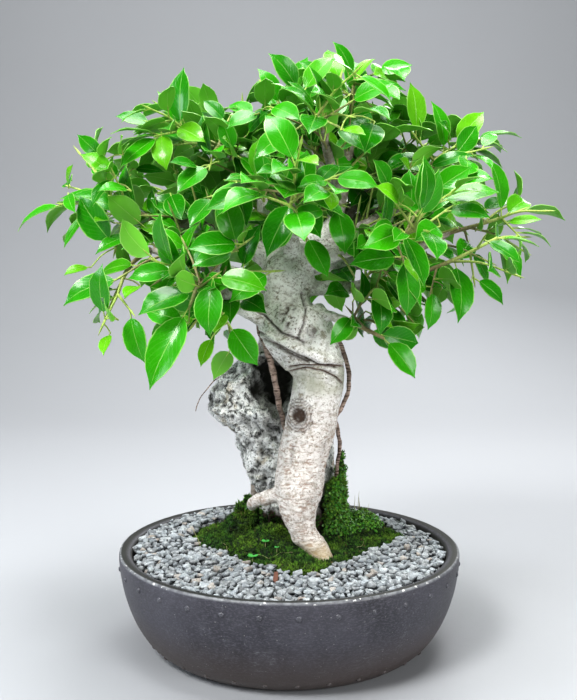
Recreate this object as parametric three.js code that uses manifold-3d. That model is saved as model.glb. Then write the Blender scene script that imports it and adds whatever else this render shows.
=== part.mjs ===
import * as THREE from 'three';
import { mergeVertices } from 'three/addons/utils/BufferGeometryUtils.js';
import Module from 'manifold-3d';

// A Chinese banyan bonsai grown root over rock, in a round unglazed drum pot.
// Millimetres, +Z up. The origin is the centre of the pot's foot, on the surface it stands on.
// +X is the viewer's right and -Y faces the viewer.

const wasm = await Module();
wasm.setup();

// Pot
const POT_HEIGHT = 85;
const RIM_RADIUS = 152.5;
const FOOT_RADIUS = 112;
const FOOT_WIDTH = 12;
const FLOOR_LOW = 6;
const FLOOR_HIGH = 11;
const WALL_RADIUS = 141;
const DRAIN_RADIUS = 9;
const POT_SEGMENTS = 32;
const SOIL_SEGMENTS = 16;
const RIVETS = 32;
const RIVET_RADIUS = 2.9;
const RIVET_HEIGHT = 2.2;
const RIVET_SUNK = 1.2;
const RIVET_OFFSET = 2.7;
const UPPER_RIVET_Z = 72.7;
const LOWER_RIVET_Z = 10;

// Ground
const GAP = 0.35;
const SOIL_TOP = 70;
const SCREEN_RADIUS = 16;
const SCREEN_THICK = 0.8;
const GRAVEL_LEVEL = 79;
const GRAVEL_HEAP = 3;
const GRAVEL_BUMP = 2.2;
const GRAVEL_RINGS = 6;
const GRAVEL_SECTORS = 72;
const GRAVEL_JITTER = 0.3;
const MOSS_EDGE = 82;
const MOSS_RISE = 15;
const MOSS_SECTORS = 24;
const MOSS_BUMP = 1.6;

// Foliage
const LEAF_THICK = 0.8;
const LEAF_LENGTH = [38, 52];
const LEAF_WIDTH = 0.46;
const WIDEST_LEAF = 26;
const LEAF_SPACING = 24;
const LEAF_TRIES = 7;
const LEAF_CLEAR = 4.4;
const SHOOT_CLEAR = 4;
const OWN_CLEAR = 1.6;
const FOOT_REACH = 9;
const STEM_RADIUS = [2, 1.3];
const SHOOT_RADIUS = [1.3, 0.9];
const SHOOT_LENGTH = [42, 62];
const STRAIGHT_SHOOT = 34;
const BUD_LENGTH = 2.5;
const COLLAR_LENGTH = 4;
const SHORTEST_SHOOT = 15;
const FIRST_SHOOT = 0.25;
const GOLDEN_ANGLE = Math.PI * (3 - Math.sqrt(5));

const v = (x, y, z) => new THREE.Vector3(x, y, z);
const UP = v(0, 0, 1);

// Colours, roughness
const FINISH = {
  pot: { color: 0x2c2a2b, roughness: 0.55, metalness: 0 },
  drain_screen: { color: 0x1d1d1d, roughness: 0.7, metalness: 0 },
  soil: { color: 0x2b2018, roughness: 1, metalness: 0 },
  gravel: { color: 0xa5acb2, roughness: 0.95, metalness: 0 },
  moss: { color: 0x2f5a17, roughness: 1, metalness: 0 },
  rock: { color: 0xa8a298, roughness: 0.95, metalness: 0 },
  trunk: { color: 0xb3a492, roughness: 0.85, metalness: 0 },
  foliage: { color: 0x2f8a24, roughness: 0.35, metalness: 0 },
};

// A repeatable stream of numbers from 0 to 1 for each seed
function random(seed) {
  let state = seed >>> 0;
  return () => {
    state = (state + 0x6d2b79f5) >>> 0;
    let mixed = Math.imul(state ^ (state >>> 15), state | 1);
    mixed ^= mixed + Math.imul(mixed ^ (mixed >>> 7), mixed | 61);
    return ((mixed ^ (mixed >>> 14)) >>> 0) / 4294967296;
  };
}

const mix = (a, b, t) => a + (b - a) * t;

// Value at x along a list of [x, value] stations
function along(stations, x) {
  const last = stations.length - 1;
  if (x <= stations[0][0]) return stations[0][1];
  for (let i = 0; i < last; i += 1) {
    const [x0, y0] = stations[i];
    const [x1, y1] = stations[i + 1];
    if (x <= x1) return mix(y0, y1, (x - x0) / (x1 - x0));
  }
  return stations[last][1];
}

function solid(geometry) {
  const bare = geometry.clone();
  bare.deleteAttribute('normal');
  bare.deleteAttribute('uv');
  const merged = mergeVertices(bare, 1e-4);
  return new wasm.Manifold(new wasm.Mesh({
    numProp: 3,
    vertProperties: new Float32Array(merged.attributes.position.array),
    triVerts: new Uint32Array(merged.index.array),
  }));
}

function geometryOf(manifold) {
  const mesh = manifold.getMesh();
  const geometry = new THREE.BufferGeometry();
  geometry.setAttribute('position', new THREE.BufferAttribute(mesh.vertProperties, 3));
  geometry.setIndex(new THREE.BufferAttribute(mesh.triVerts, 1));
  return geometry;
}

function indexed(points, faces) {
  const geometry = new THREE.BufferGeometry();
  const positions = points.flatMap((p) => p.toArray());
  geometry.setAttribute('position', new THREE.Float32BufferAttribute(positions, 3));
  geometry.setIndex(faces.flat());
  return geometry;
}

// Closed skin over rings of equal point counts, with a flat cap at each end
function loft(rings) {
  const n = rings[0].length;
  const points = rings.flat();
  const faces = [];
  for (let i = 0; i + 1 < rings.length; i += 1) {
    for (let j = 0; j < n; j += 1) {
      const a = i * n + j;
      const b = i * n + ((j + 1) % n);
      faces.push([a, b, b + n], [a, b + n, a + n]);
    }
  }
  const top = (rings.length - 1) * n;
  for (let j = 1; j + 1 < n; j += 1) faces.push([0, j + 1, j], [top, top + j, top + j + 1]);
  return indexed(points, faces);
}

// Round tube of changing radius through a list of points; facing sets the way its first end faces
function tube(path, radiusAt, sides, facing = null) {
  const rings = [];
  let normal = null;
  path.forEach((point, i) => {
    const before = path[Math.max(i - 1, 0)];
    const after = path[Math.min(i + 1, path.length - 1)];
    const tangent = i === 0 && facing ? facing : after.clone().sub(before).normalize();
    if (!normal) normal = Math.abs(tangent.z) < 0.9 ? UP.clone() : v(1, 0, 0);
    normal.sub(tangent.clone().multiplyScalar(normal.dot(tangent))).normalize();
    const side = tangent.clone().cross(normal);
    const radius = radiusAt(i);
    rings.push(Array.from({ length: sides }, (_, j) => {
      const angle = (2 * Math.PI * j) / sides;
      return point.clone()
        .addScaledVector(normal, radius * Math.cos(angle))
        .addScaledVector(side, radius * Math.sin(angle));
    }));
  });
  return loft(rings);
}

// Tube whose radius runs evenly from the first value to the last
function taper(path, [first, last], sides, grow = 0) {
  return solid(tube(path, (i) => mix(first, last, i / (path.length - 1)) + grow, sides));
}

const union = (parts) => wasm.Manifold.union(parts);

// Pot: one turned profile with a foot ring, a rolled rim and two rings of rivets
const outerWall = [
  [FOOT_RADIUS, 0], [120, 3], [131, 13], [141, 30], [148, 50], [151.5, 68], [RIM_RADIUS, 79],
];

function wallRadius(z) {
  return along(outerWall.map(([r, height]) => [height, r]), z);
}

function potBody() {
  const footInner = FOOT_RADIUS - FOOT_WIDTH;
  const profile = [
    [DRAIN_RADIUS, FLOOR_LOW], [footInner - 3, FLOOR_LOW], [footInner, 0], ...outerWall,
    [RIM_RADIUS, POT_HEIGHT - 2], [RIM_RADIUS - 2, POT_HEIGHT],
    [WALL_RADIUS + 3, POT_HEIGHT], [WALL_RADIUS, POT_HEIGHT - 3],
    [WALL_RADIUS, 58], [135, 34], [123, 17], [100, FLOOR_HIGH], [DRAIN_RADIUS, FLOOR_HIGH],
    [DRAIN_RADIUS, FLOOR_LOW],
  ].map(([r, z]) => new THREE.Vector2(r, z));
  return solid(new THREE.LatheGeometry(profile, POT_SEGMENTS).rotateX(Math.PI / 2));
}

function rivet(angle, z) {
  const step = 3;
  const slope = Math.atan2(wallRadius(z + step) - wallRadius(z - step), 2 * step);
  const height = RIVET_HEIGHT + RIVET_SUNK;
  const cone = new THREE.ConeGeometry(RIVET_RADIUS, height, 4);
  cone.translate(0, height / 2 - RIVET_SUNK, 0);
  cone.rotateZ(-Math.PI / 2 - slope);
  cone.rotateX(Math.PI / 2);
  cone.translate(wallRadius(z) * Math.cos(Math.PI / POT_SEGMENTS), 0, z);
  return solid(cone.rotateZ(angle));
}

function pot() {
  const rivets = [];
  for (let i = 0; i < RIVETS; i += 1) {
    const angle = THREE.MathUtils.degToRad(RIVET_OFFSET - 90 + (i * 360) / RIVETS);
    rivets.push(rivet(angle, UPPER_RIVET_Z), rivet(angle, LOWER_RIVET_Z));
  }
  return potBody().add(union(rivets));
}

function drainScreen() {
  const disc = new THREE.CylinderGeometry(SCREEN_RADIUS, SCREEN_RADIUS, SCREEN_THICK, 12);
  disc.rotateX(Math.PI / 2).translate(0, 0, FLOOR_HIGH + GAP + SCREEN_THICK / 2);
  return solid(disc);
}

function soil() {
  const recess = FLOOR_HIGH + SCREEN_THICK + 2 * GAP;
  const profile = [
    [0, recess], [SCREEN_RADIUS + GAP, recess], [SCREEN_RADIUS + GAP, FLOOR_HIGH + GAP],
    [100 - GAP, FLOOR_HIGH + GAP], [123 - GAP, 17 + GAP], [135 - GAP, 34 + GAP],
    [WALL_RADIUS - GAP, 58 + GAP], [WALL_RADIUS - GAP, SOIL_TOP], [0, SOIL_TOP],
  ].map(([r, z]) => new THREE.Vector2(r, z));
  return solid(new THREE.LatheGeometry(profile, SOIL_SEGMENTS).rotateX(Math.PI / 2));
}

// Edge of the moss patch on the gravel, seen from above
const mossOutline = [
  [110, 33], [95, 5], [70, -22], [42, -52], [24, -76], [2, -83], [-19, -62], [-37, -52], [-57, -18], [-88, 5],
  [-92, 40], [-78, 66], [-45, 82], [0, 88], [50, 80], [92, 62],
];

const mossEdge = new THREE.CatmullRomCurve3(mossOutline.map(([x, y]) => v(x, y, 0)), true)
  .getSpacedPoints(160)
  .map((p) => [(Math.atan2(p.y, p.x) + 2 * Math.PI) % (2 * Math.PI), Math.hypot(p.x, p.y)])
  .sort((a, b) => a[0] - b[0]);

// The patch has straight edges between its sectors, which the gravel around it follows
function mossRadius(angle) {
  const step = (2 * Math.PI) / MOSS_SECTORS;
  const sector = Math.floor(angle / step + 1e-6);
  const past = angle - sector * step;
  const near = along(mossEdge, sector * step);
  const far = along(mossEdge, ((sector + 1) % MOSS_SECTORS) * step);
  return (near * far * Math.sin(step)) / (near * Math.sin(past) + far * Math.sin(step - past));
}

function polar(radius, angle, z) {
  return v(radius * Math.cos(angle), radius * Math.sin(angle), z);
}

// Gravel: a ring of angular bumps that rises from the pot wall to the moss
function gravel() {
  const draw = random(11);
  const outer = WALL_RADIUS * Math.cos(Math.PI / POT_SEGMENTS) - GAP;
  const sections = [];
  for (let j = 0; j < GRAVEL_SECTORS; j += 1) {
    const angle = (2 * Math.PI * j) / GRAVEL_SECTORS;
    const inner = mossRadius(angle) + 2 * GAP;
    const section = [polar(inner, angle, SOIL_TOP + GAP)];
    for (let i = 0; i <= GRAVEL_RINGS; i += 1) {
      const edge = i === 0 || i === GRAVEL_RINGS;
      const shift = edge ? 0 : GRAVEL_JITTER * (draw() - 0.5);
      const turn = edge ? 0 : (GRAVEL_JITTER * (draw() - 0.5) * 2 * Math.PI) / GRAVEL_SECTORS;
      const peak = (i + j) % 2 === 0 ? 1 : -1;
      const radius = mix(inner, outer, (i + shift) / GRAVEL_RINGS);
      const heap = GRAVEL_HEAP * (1 - i / GRAVEL_RINGS);
      const level = GRAVEL_LEVEL + heap + GRAVEL_BUMP * (0.7 * peak + 0.6 * (draw() - 0.5));
      section.push(polar(radius, angle + turn, level));
    }
    section.push(polar(outer, angle, SOIL_TOP + GAP));
    sections.push(section);
  }
  return solid(closedSweep(sections));
}

// Closed skin over sections that run round and meet the first again
function closedSweep(sections) {
  const n = sections[0].length;
  const count = sections.length;
  const faces = [];
  for (let j = 0; j < count; j += 1) {
    const next = ((j + 1) % count) * n;
    for (let i = 0; i < n; i += 1) {
      const k = (i + 1) % n;
      faces.push([j * n + i, j * n + k, next + k], [j * n + i, next + k, next + i]);
    }
  }
  return indexed(sections.flat(), faces);
}

// Moss: a low bumpy mound that climbs the foot of the rock on both sides, with a hump at the right
function mossMound() {
  const draw = random(5);
  const rings = [];
  const ring = (share, z, bump) => rings.push(Array.from({ length: MOSS_SECTORS }, (_, j) => {
    const angle = (2 * Math.PI * j) / MOSS_SECTORS;
    return polar(share * mossRadius(angle), angle, z + bump * (draw() - 0.5));
  }));
  ring(1, SOIL_TOP + GAP, 0);
  ring(1, MOSS_EDGE - 2, 0);
  for (const share of [0.9, 0.62, 0.34]) {
    ring(share, MOSS_EDGE + MOSS_RISE * (1 - share) ** 0.8, 2 * MOSS_BUMP);
  }
  return solid(loft(rings));
}

const mossClimbs = [
  {
    path: [[42, 12, 72], [42, 8, 100], [42, 5, 125], [44, 5, 143], [47, 6, 153], [48, 6, 170]],
    radius: [25, 15, 10.5, 7.5, 4.5, 3],
  },
  { path: [[-44, 30, 72], [-43, 28, 94], [-41, 26, 108], [-36, 22, 124]], radius: [28, 20, 11, 4.5] },
  { path: [[66, 28, 72], [67, 28, 92], [66, 28, 106]], radius: [26, 21, 11] },
];

function lumpy({ path, radius }, sides, seed, roughness) {
  const draw = random(seed);
  const rings = path.map(([x, y, z], i) => Array.from({ length: sides }, (_, j) => {
    const angle = (2 * Math.PI * j) / sides;
    const reach = radius[i] * (1 + roughness * (draw() - 0.5));
    return v(x + reach * Math.cos(angle), y + reach * Math.sin(angle), z);
  }));
  return solid(loft(rings));
}

function moss() {
  return union([mossMound(), ...mossClimbs.map((climb, i) => lumpy(climb, 8, 31 + i, 0.3))]);
}

// Rock: level sections given as height, centre x, half width, centre y, half depth
const rockLevels = [
  [70 + GAP, 8, 40, 26, 34], [98, 8, 40, 26, 34], [122, 6, 37, 26, 32],
  [140, 3, 39, 26, 33], [155, -1, 44, 26, 35], [169, -2, 46, 26, 36], [182, -6, 46, 26, 37],
  [195, -20, 51, 27, 37], [206, -29, 52, 28, 36], [222, -28, 46, 28, 33],
  [236, -27, 37, 28, 28], [248, -25, 27, 28, 22], [258, -24, 14, 28, 12],
];
const ROCK_SIDES = 16;
const ROCK_ROUGHNESS = 0.17;

function rock(grow = 0) {
  const draw = random(77);
  const level = ([z, x, halfWidth, y, halfDepth], i) => Array.from({ length: ROCK_SIDES }, (_, j) => {
    const angle = (2 * Math.PI * (j + 0.5 * (i % 2))) / ROCK_SIDES;
    const rough = 1 + ROCK_ROUGHNESS * (draw() - 0.55);
    const last = i === rockLevels.length - 1;
    return v(
      x + (halfWidth * rough + grow) * Math.cos(angle),
      y + (halfDepth * rough + grow) * Math.sin(angle),
      z + (last ? grow : 0),
    );
  });
  return solid(loft(rockLevels.map(level)));
}

// Trunk: the thick root that hugs the front of the rock, as x, y, z, radius
const trunkStations = [
  [36, -44, 63, 6.5], [26, -40, 88, 9.5], [12, -38, 106, 12], [8, -34, 125, 16.5], [8, -30, 143, 21.5],
  [12, -27, 168, 21], [20, -25, 204, 22.3], [25, -25, 238, 22.3], [22, -23, 254, 24.6], [14, -21, 268, 28.6],
  [6, -19, 281, 32], [-1, -17, 293, 28], [-2, -15, 306, 20.5], [-1, -11, 330, 24], [6, -7, 355, 13],
];
const TRUNK_SIDES = 9;

// Roots that leave the trunk, run over the rock and go into the moss: points, radii, sides
const roots = [
  {
    path: [[0, -30, 142], [-13, -29, 136], [-23, -25, 132], [-31, -16, 127], [-34, -2, 120]],
    radius: [8, 5], sides: 7,
  },
  {
    path: [
      [-22, -24, 292], [-26, -19, 282], [-20, -21, 267], [-14, -19, 243], [-10, -18, 222],
      [-6, -21, 203], [0, -26, 184],
    ],
    radius: [3.4, 2], sides: 4,
  },
  {
    path: [[36, -28, 280], [45, -24, 267], [51, -22, 248], [52, -21, 231], [48, -22, 217], [40, -24, 204]],
    radius: [2.6, 2], sides: 4,
  },
  { path: [[38, -22, 206], [43, -16, 192], [45, -8, 174], [43, -2, 152]], radius: [2.2, 1.8], sides: 4 },
  {
    path: [
      [4, -4, 306], [-6, 26, 284], [-8, 48, 252], [-6, 64, 214], [2, 62, 160], [8, 58, 110], [12, 62, 74],
    ],
    radius: [13, 7], sides: 7,
  },
  {
    path: [
      [-12, -2, 300], [-18, 28, 274], [-30, 50, 240], [-42, 56, 206], [-40, 52, 172], [-32, 46, 140],
      [-34, 50, 84],
    ],
    radius: [9, 5], sides: 6,
  },
  {
    path: [[14, -2, 300], [14, 24, 268], [18, 46, 230], [34, 50, 180], [38, 44, 130], [46, 52, 84]],
    radius: [10, 5.5], sides: 6,
  },
  {
    path: [[-20, -42, 279], [-4, -50, 271], [16, -51, 263], [34, -44, 257], [44, -30, 254]],
    radius: [3.2, 3.6], sides: 4,
  },
];

// Woody branches, each ending in the flat end that a leafy spray grows on from
const branches = {
  far_left: {
    path: [[-10, -8, 335], [-43, -10, 359], [-78, -15, 371], [-107, -20, 375]],
    radius: [10, 3.6],
  },
  low_left: {
    path: [[-8, -14, 316], [-60, -25, 332], [-93, -35, 345], [-118, -40, 349]],
    radius: [9, 3.2],
  },
  front_left: {
    path: [[-10, -20, 286], [-42, -40, 302], [-56, -60, 315], [-68, -80, 322]],
    radius: [9, 3.2],
  },
  upper_left: {
    path: [[-2, -8, 345], [-19, 0, 372], [-24, 5, 395], [-35, 10, 430]],
    radius: [10, 3.4],
  },
  top_left: { path: [[43, 8, 390], [30, 3, 420], [10, 0, 448]], radius: [6, 3] },
  top: {
    path: [[8, -6, 346], [36, 5, 368], [43, 8, 390], [52, 10, 439], [54, 10, 466]],
    radius: [12, 3.4],
  },
  front_top: { path: [[44, 8, 396], [34, -30, 426], [26, -66, 446]], radius: [6, 3] },
  upper_right: {
    path: [[8, -8, 342], [36, -5, 350], [68, 0, 370], [92, 5, 386], [108, 6, 404]],
    radius: [12, 3.6],
  },
  far_right: {
    path: [[8, -6, 334], [32, 0, 338], [77, 10, 341], [114, 15, 352], [147, 20, 367]],
    radius: [9, 3.2],
  },
  low_right: {
    path: [[4, -14, 318], [40, -16, 317], [71, -22, 320], [108, -28, 328]],
    radius: [8, 3.2],
  },
  front: { path: [[2, -12, 340], [2, -50, 369], [8, -80, 392]], radius: [9, 3.2] },
  front_right: { path: [[6, -12, 336], [51, -50, 349], [76, -85, 355]], radius: [8, 3.2] },
  low_shoot: { path: [[20, -26, 298], [47, -45, 290], [58, -58, 286]], radius: [5, 2.6] },
  back_left: { path: [[0, -4, 338], [-37, 56, 376], [-74, 100, 396]], radius: [9, 3.4] },
  back_right: { path: [[6, -4, 340], [54, 62, 376], [97, 104, 396]], radius: [9, 3.4] },
  back_top: { path: [[4, -4, 346], [10, 50, 399], [16, 84, 436]], radius: [9, 3.2] },
  back: { path: [[4, -2, 332], [10, 70, 346], [15, 118, 356]], radius: [9, 3.2] },
  back_upper_left: { path: [[8, 40, 388], [-26, 62, 424], [-62, 76, 446]], radius: [5.5, 3] },
  back_upper_right: { path: [[46, 50, 369], [76, 60, 414], [108, 66, 436]], radius: [5.5, 3] },
};
const BRANCH_SIDES = 5;

// Healed wounds on the bark: centre, half sizes
const scars = [
  { at: [1, -45, 293], size: [13, 6, 17] },
  { at: [12, -47, 206], size: [7, 4, 8] },
];

const vectors = (list) => list.map(([x, y, z]) => v(x, y, z));

function trunk(grow = 0) {
  const main = tube(vectors(trunkStations), (i) => trunkStations[i][3] + grow, TRUNK_SIDES);
  const limbs = Object.values(branches)
    .map(({ path, radius }) => taper(vectors(path), radius, BRANCH_SIDES, grow));
  const strands = roots.map(({ path, radius, sides }) => taper(vectors(path), radius, sides, grow));
  const wounds = scars.map(({ at, size }) => {
    const lump = new THREE.SphereGeometry(1, 7, 4);
    lump.scale(...size.map((half) => half + grow)).translate(...at);
    return solid(lump);
  });
  return union([solid(main), ...limbs, ...strands, ...wounds]);
}

// Sprays: the green stem beyond each woody end, and its longest shoots, each given by the place
// where its last leaf starts and the tip of that leaf. more counts the shoots that follow a rule.
const sprays = {
  far_left: {
    stem: [[-140, -16, 384], [-178, 0, 392]],
    shoots: [
      [[-200, 8, 392], [-247.5, 14, 371]], [[-157, -30, 425], [-178, -36, 446]],
      [[-148, -30, 352], [-181, -26, 396]], [[-146, -40, 410], [-163, -56, 386]],
      [[-150, 28, 416], [-186, 44, 428]],
    ],
    more: 3,
  },
  low_left: {
    stem: [[-134, -52, 334], [-142, -62, 310]],
    shoots: [
      [[-150, -52, 330], [-186, -68, 306]], [[-148, -80, 292], [-149, -94, 336]],
      [[-128, -80, 300], [-116, -88, 258]],
    ],
    more: 2,
  },
  front_left: {
    stem: [[-72, -100, 318], [-76, -116, 304]],
    shoots: [
      [[-78, -112, 292], [-107, -132, 243]], [[-72, -112, 326], [-112, -136, 300]],
      [[-58, -116, 326], [-61, -128, 282]], [[-49, -88, 290], [-25, -92, 256]],
      [[-36, -92, 352], [-78, -112, 348]], [[-14, -76, 331], [-47, -96, 308]],
      [[-84, -74, 352], [-102, -88, 324]],
    ],
    more: 2,
  },
  upper_left: {
    stem: [[-70, 6, 446], [-98, 2, 456]],
    shoots: [
      [[-105, 0, 460], [-94, 5, 511]], [[-110, -20, 448], [-142, -36, 420]],
      [[-118, -5, 460], [-150, -12, 466]], [[-47, -20, 432], [-58, -24, 462]],
      [[-56, 18, 464], [-78, 26, 486]], [[-66, -40, 420], [-92, -62, 396]],
    ],
    more: 3,
  },
  top_left: {
    stem: [[0, 0, 462], [-8, 0, 476]],
    shoots: [
      [[-12, 0, 482], [-26, -6, 508]], [[4, 6, 488], [16, 10, 521]],
      [[-24, -22, 466], [-52, -40, 452]], [[4, -24, 466], [-4, -56, 446]],
      [[-30, 20, 470], [-56, 42, 486]],
    ],
    more: 2,
  },
  top: {
    stem: [[56, 8, 488], [58, 6, 502]],
    shoots: [
      [[56, 4, 508], [40, -2, 532]], [[76, 12, 506], [110, 18, 516]],
      [[44, -20, 484], [8, -30, 508]], [[50, -36, 478], [20, -58, 452]],
      [[70, -16, 490], [92, -44, 474]], [[60, 30, 496], [70, 62, 506]],
    ],
    more: 3,
  },
  front_top: {
    stem: [[22, -90, 450], [20, -108, 448]],
    shoots: [
      [[4, -104, 438], [-26, -122, 416]], [[34, -116, 440], [60, -136, 418]],
      [[20, -122, 446], [14, -160, 428]], [[8, -84, 470], [-14, -98, 498]],
      [[46, -82, 462], [80, -96, 476]],
    ],
    more: 2,
  },
  upper_right: {
    stem: [[130, 10, 430], [150, 18, 444]],
    shoots: [
      [[110, -8, 448], [105, -12, 494]], [[134, 8, 446], [127, 6, 482]],
      [[154, 20, 450], [176, 24, 476]], [[166, 25, 449], [212, 30, 456]],
      [[130, -32, 410], [100, -48, 404]], [[138, -30, 408], [170, -44, 410]],
    ],
    more: 3,
  },
  far_right: {
    stem: [[172, 12, 374], [192, 8, 380]],
    shoots: [
      [[186, 0, 386], [177, -2, 432]], [[204, 6, 385], [247.5, 10, 381]],
      [[200, -2, 366], [232, -4, 356]], [[176, 34, 386], [212, 52, 400]],
      [[166, 30, 352], [188, 44, 320]],
    ],
    more: 3,
  },
  low_right: {
    stem: [[142, -34, 342], [178, -28, 360]],
    shoots: [
      [[184, -24, 362], [199, -34, 326]], [[162, -46, 358], [190, -62, 338]],
      [[143, -48, 338], [143, -58, 290]], [[160, -20, 326], [188, -20, 304]],
      [[120, -44, 318], [118, -48, 282]],
    ],
    more: 2,
  },
  front: {
    stem: [[4, -106, 388], [0, -134, 378]],
    shoots: [
      [[4, -108, 372], [-18, -122, 342]], [[-42, -84, 402], [-33, -98, 366]],
      [[36, -104, 382], [43, -114, 344]], [[12, -94, 360], [30, -106, 326]],
      [[-60, -66, 392], [-80, -80, 366]], [[4, -152, 374], [10, -190, 352]],
      [[-26, -134, 388], [-60, -152, 374]], [[30, -136, 398], [64, -152, 392]],
    ],
    more: 2,
  },
  front_right: {
    stem: [[90, -106, 360], [98, -122, 362]],
    shoots: [
      [[88, -96, 342], [46, -110, 336]], [[72, -66, 322], [75, -76, 280]],
      [[118, -110, 376], [150, -126, 372]], [[100, -136, 360], [104, -172, 340]],
      [[76, -124, 386], [60, -150, 410]], [[112, -84, 392], [142, -92, 412]],
    ],
    more: 3,
  },
  low_shoot: {
    stem: [[70, -64, 280], [78, -66, 276]],
    shoots: [[[52, -66, 296], [33, -80, 272]], [[82, -66, 274], [103, -72, 244]]],
    more: 0,
  },
  back_left: {
    stem: [[-96, 120, 402], [-120, 134, 404]],
    shoots: [
      [[-140, 136, 404], [-176, 148, 392]], [[-100, 146, 392], [-112, 178, 374]],
      [[-110, 104, 428], [-144, 112, 444]], [[-120, 92, 380], [-158, 94, 362]],
    ],
    more: 5,
  },
  back_right: {
    stem: [[116, 120, 402], [136, 128, 404]],
    shoots: [
      [[150, 130, 404], [186, 140, 390]], [[116, 146, 392], [122, 180, 374]],
      [[134, 100, 428], [164, 108, 446]], [[140, 84, 384], [176, 82, 368]],
    ],
    more: 5,
  },
  back_top: {
    stem: [[18, 100, 452], [18, 112, 462]],
    shoots: [
      [[18, 116, 468], [14, 140, 498]], [[-12, 116, 456], [-44, 130, 464]],
      [[46, 112, 456], [80, 122, 462]], [[16, 60, 478], [12, 48, 516]],
    ],
    more: 4,
  },
  back: {
    stem: [[15, 136, 362], [14, 148, 364]],
    shoots: [
      [[12, 152, 366], [8, 190, 350]], [[-18, 140, 352], [-52, 156, 338]],
      [[44, 138, 350], [78, 152, 336]], [[-10, 110, 330], [-30, 118, 292]],
      [[38, 108, 330], [54, 118, 292]],
    ],
    more: 3,
  },
  back_upper_left: {
    stem: [[-80, 82, 454], [-94, 84, 460]],
    shoots: [[[-98, 84, 464], [-122, 90, 490]], [[-70, 60, 474], [-80, 44, 506]]],
    more: 5,
  },
  back_upper_right: {
    stem: [[124, 70, 446], [138, 72, 452]],
    shoots: [[[142, 72, 456], [170, 78, 476]], [[104, 52, 466], [100, 38, 500]]],
    more: 5,
  },
};

// A leaf with its stalk: a folded, arched blade from its foot to its tip
function leafSurface({ foot, tip, face, width, arch, fold }) {
  const length = tip.distanceTo(foot);
  const ahead = tip.clone().sub(foot).normalize();
  const up = face.clone().addScaledVector(ahead, -face.dot(ahead)).normalize();
  const side = up.clone().cross(ahead);
  const point = (share, half) => foot.clone()
    .addScaledVector(ahead, share * length)
    .addScaledVector(side, half * width)
    .addScaledVector(up, 4 * arch * share * (1 - share) * length + fold * Math.abs(half) * width);
  const outline = [
    point(0, 0), point(0.42, 0.47), point(0.72, 0.41), point(1, 0), point(0.72, -0.41), point(0.42, -0.47),
  ];
  return { outline, up };
}

// The blade is split into triangles alike on its upper and its lower face
const LEAF_FACES = [[0, 1, 5], [1, 2, 5], [5, 2, 4], [2, 3, 4]];

function leafTriangles({ outline }) {
  return LEAF_FACES.map((corners) => new THREE.Triangle(...corners.map((i) => outline[i])));
}

function leafSolid(surface) {
  const { outline, up } = surface;
  const n = outline.length;
  const lift = (distance) => outline.map((p, i) => p.clone().addScaledVector(up, i === 0 ? 0 : distance));
  const lower = (i) => (i === 0 ? 0 : n + i);
  const faces = LEAF_FACES.flatMap(([a, b, c]) => [[a, c, b], [lower(a), lower(b), lower(c)]]);
  faces.push([0, 1, lower(1)], [5, 0, lower(5)]);
  for (let i = 1; i < 5; i += 1) faces.push([i, i + 1, lower(i + 1)], [i, lower(i + 1), lower(i)]);
  const points = [...lift(LEAF_THICK / 2), ...lift(-LEAF_THICK / 2)];
  points[n].copy(points[0]);
  return solid(indexed(points, faces));
}

// Points spread over a triangle, close enough that nothing thick passes between them
function scatter({ a, b, c }) {
  const points = [];
  const steps = 3;
  for (let i = 0; i <= steps; i += 1) {
    for (let j = 0; i + j <= steps; j += 1) {
      points.push(v(0, 0, 0)
        .addScaledVector(a, i / steps)
        .addScaledVector(b, j / steps)
        .addScaledVector(c, (steps - i - j) / steps));
    }
  }
  return points;
}

// Everything placed so far, to keep new leaves and shoots clear of it
const placedRods = [];
const placedLeaves = [];

function addRods(path, radiusAt, owner) {
  for (let i = 0; i + 1 < path.length; i += 1) {
    const line = new THREE.Line3(path[i], path[i + 1]);
    placedRods.push({ line, radius: Math.max(radiusAt(i), radiusAt(i + 1)), owner });
  }
}

const nearest = v(0, 0, 0);

// A leaf or shoot may meet its carriers at its foot, and stays just clear of them further out
function clearOfRods(points, room, carriers, foot) {
  const beyond = points.filter((p) => p.distanceTo(foot) > FOOT_REACH);
  return placedRods.every(({ line, radius, owner }) => {
    const own = carriers.includes(owner);
    const least = radius + (own ? OWN_CLEAR : room);
    return (own ? beyond : points)
      .every((p) => line.closestPointToPoint(p, true, nearest).distanceTo(p) > least);
  });
}

function clearOfLeaves(points, room) {
  const ball = new THREE.Sphere().setFromPoints(points);
  return placedLeaves.every(({ triangles, bounds }) => !bounds.intersectsSphere(ball)
    || points.every((p) => triangles.every((t) => t.closestPointToPoint(p, nearest).distanceTo(p) > room)));
}

function placeLeaf(leaf, carriers) {
  const surface = leafSurface(leaf);
  const triangles = leafTriangles(surface);
  const points = triangles.flatMap(scatter);
  if (!clearOfRods(points, LEAF_CLEAR - 1, carriers, leaf.foot)) return null;
  if (!clearOfLeaves(points, LEAF_CLEAR)) return null;
  const bounds = new THREE.Sphere().setFromPoints(points);
  bounds.radius += LEAF_CLEAR;
  placedLeaves.push({ triangles, bounds });
  return leafSolid(surface);
}

// The crown is a rounded dome: no leaf tip that follows a rule passes this ellipsoid
const CROWN_CENTRE = v(0, 0, 388);
const CROWN_REACH = v(246, 189, 142);

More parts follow.
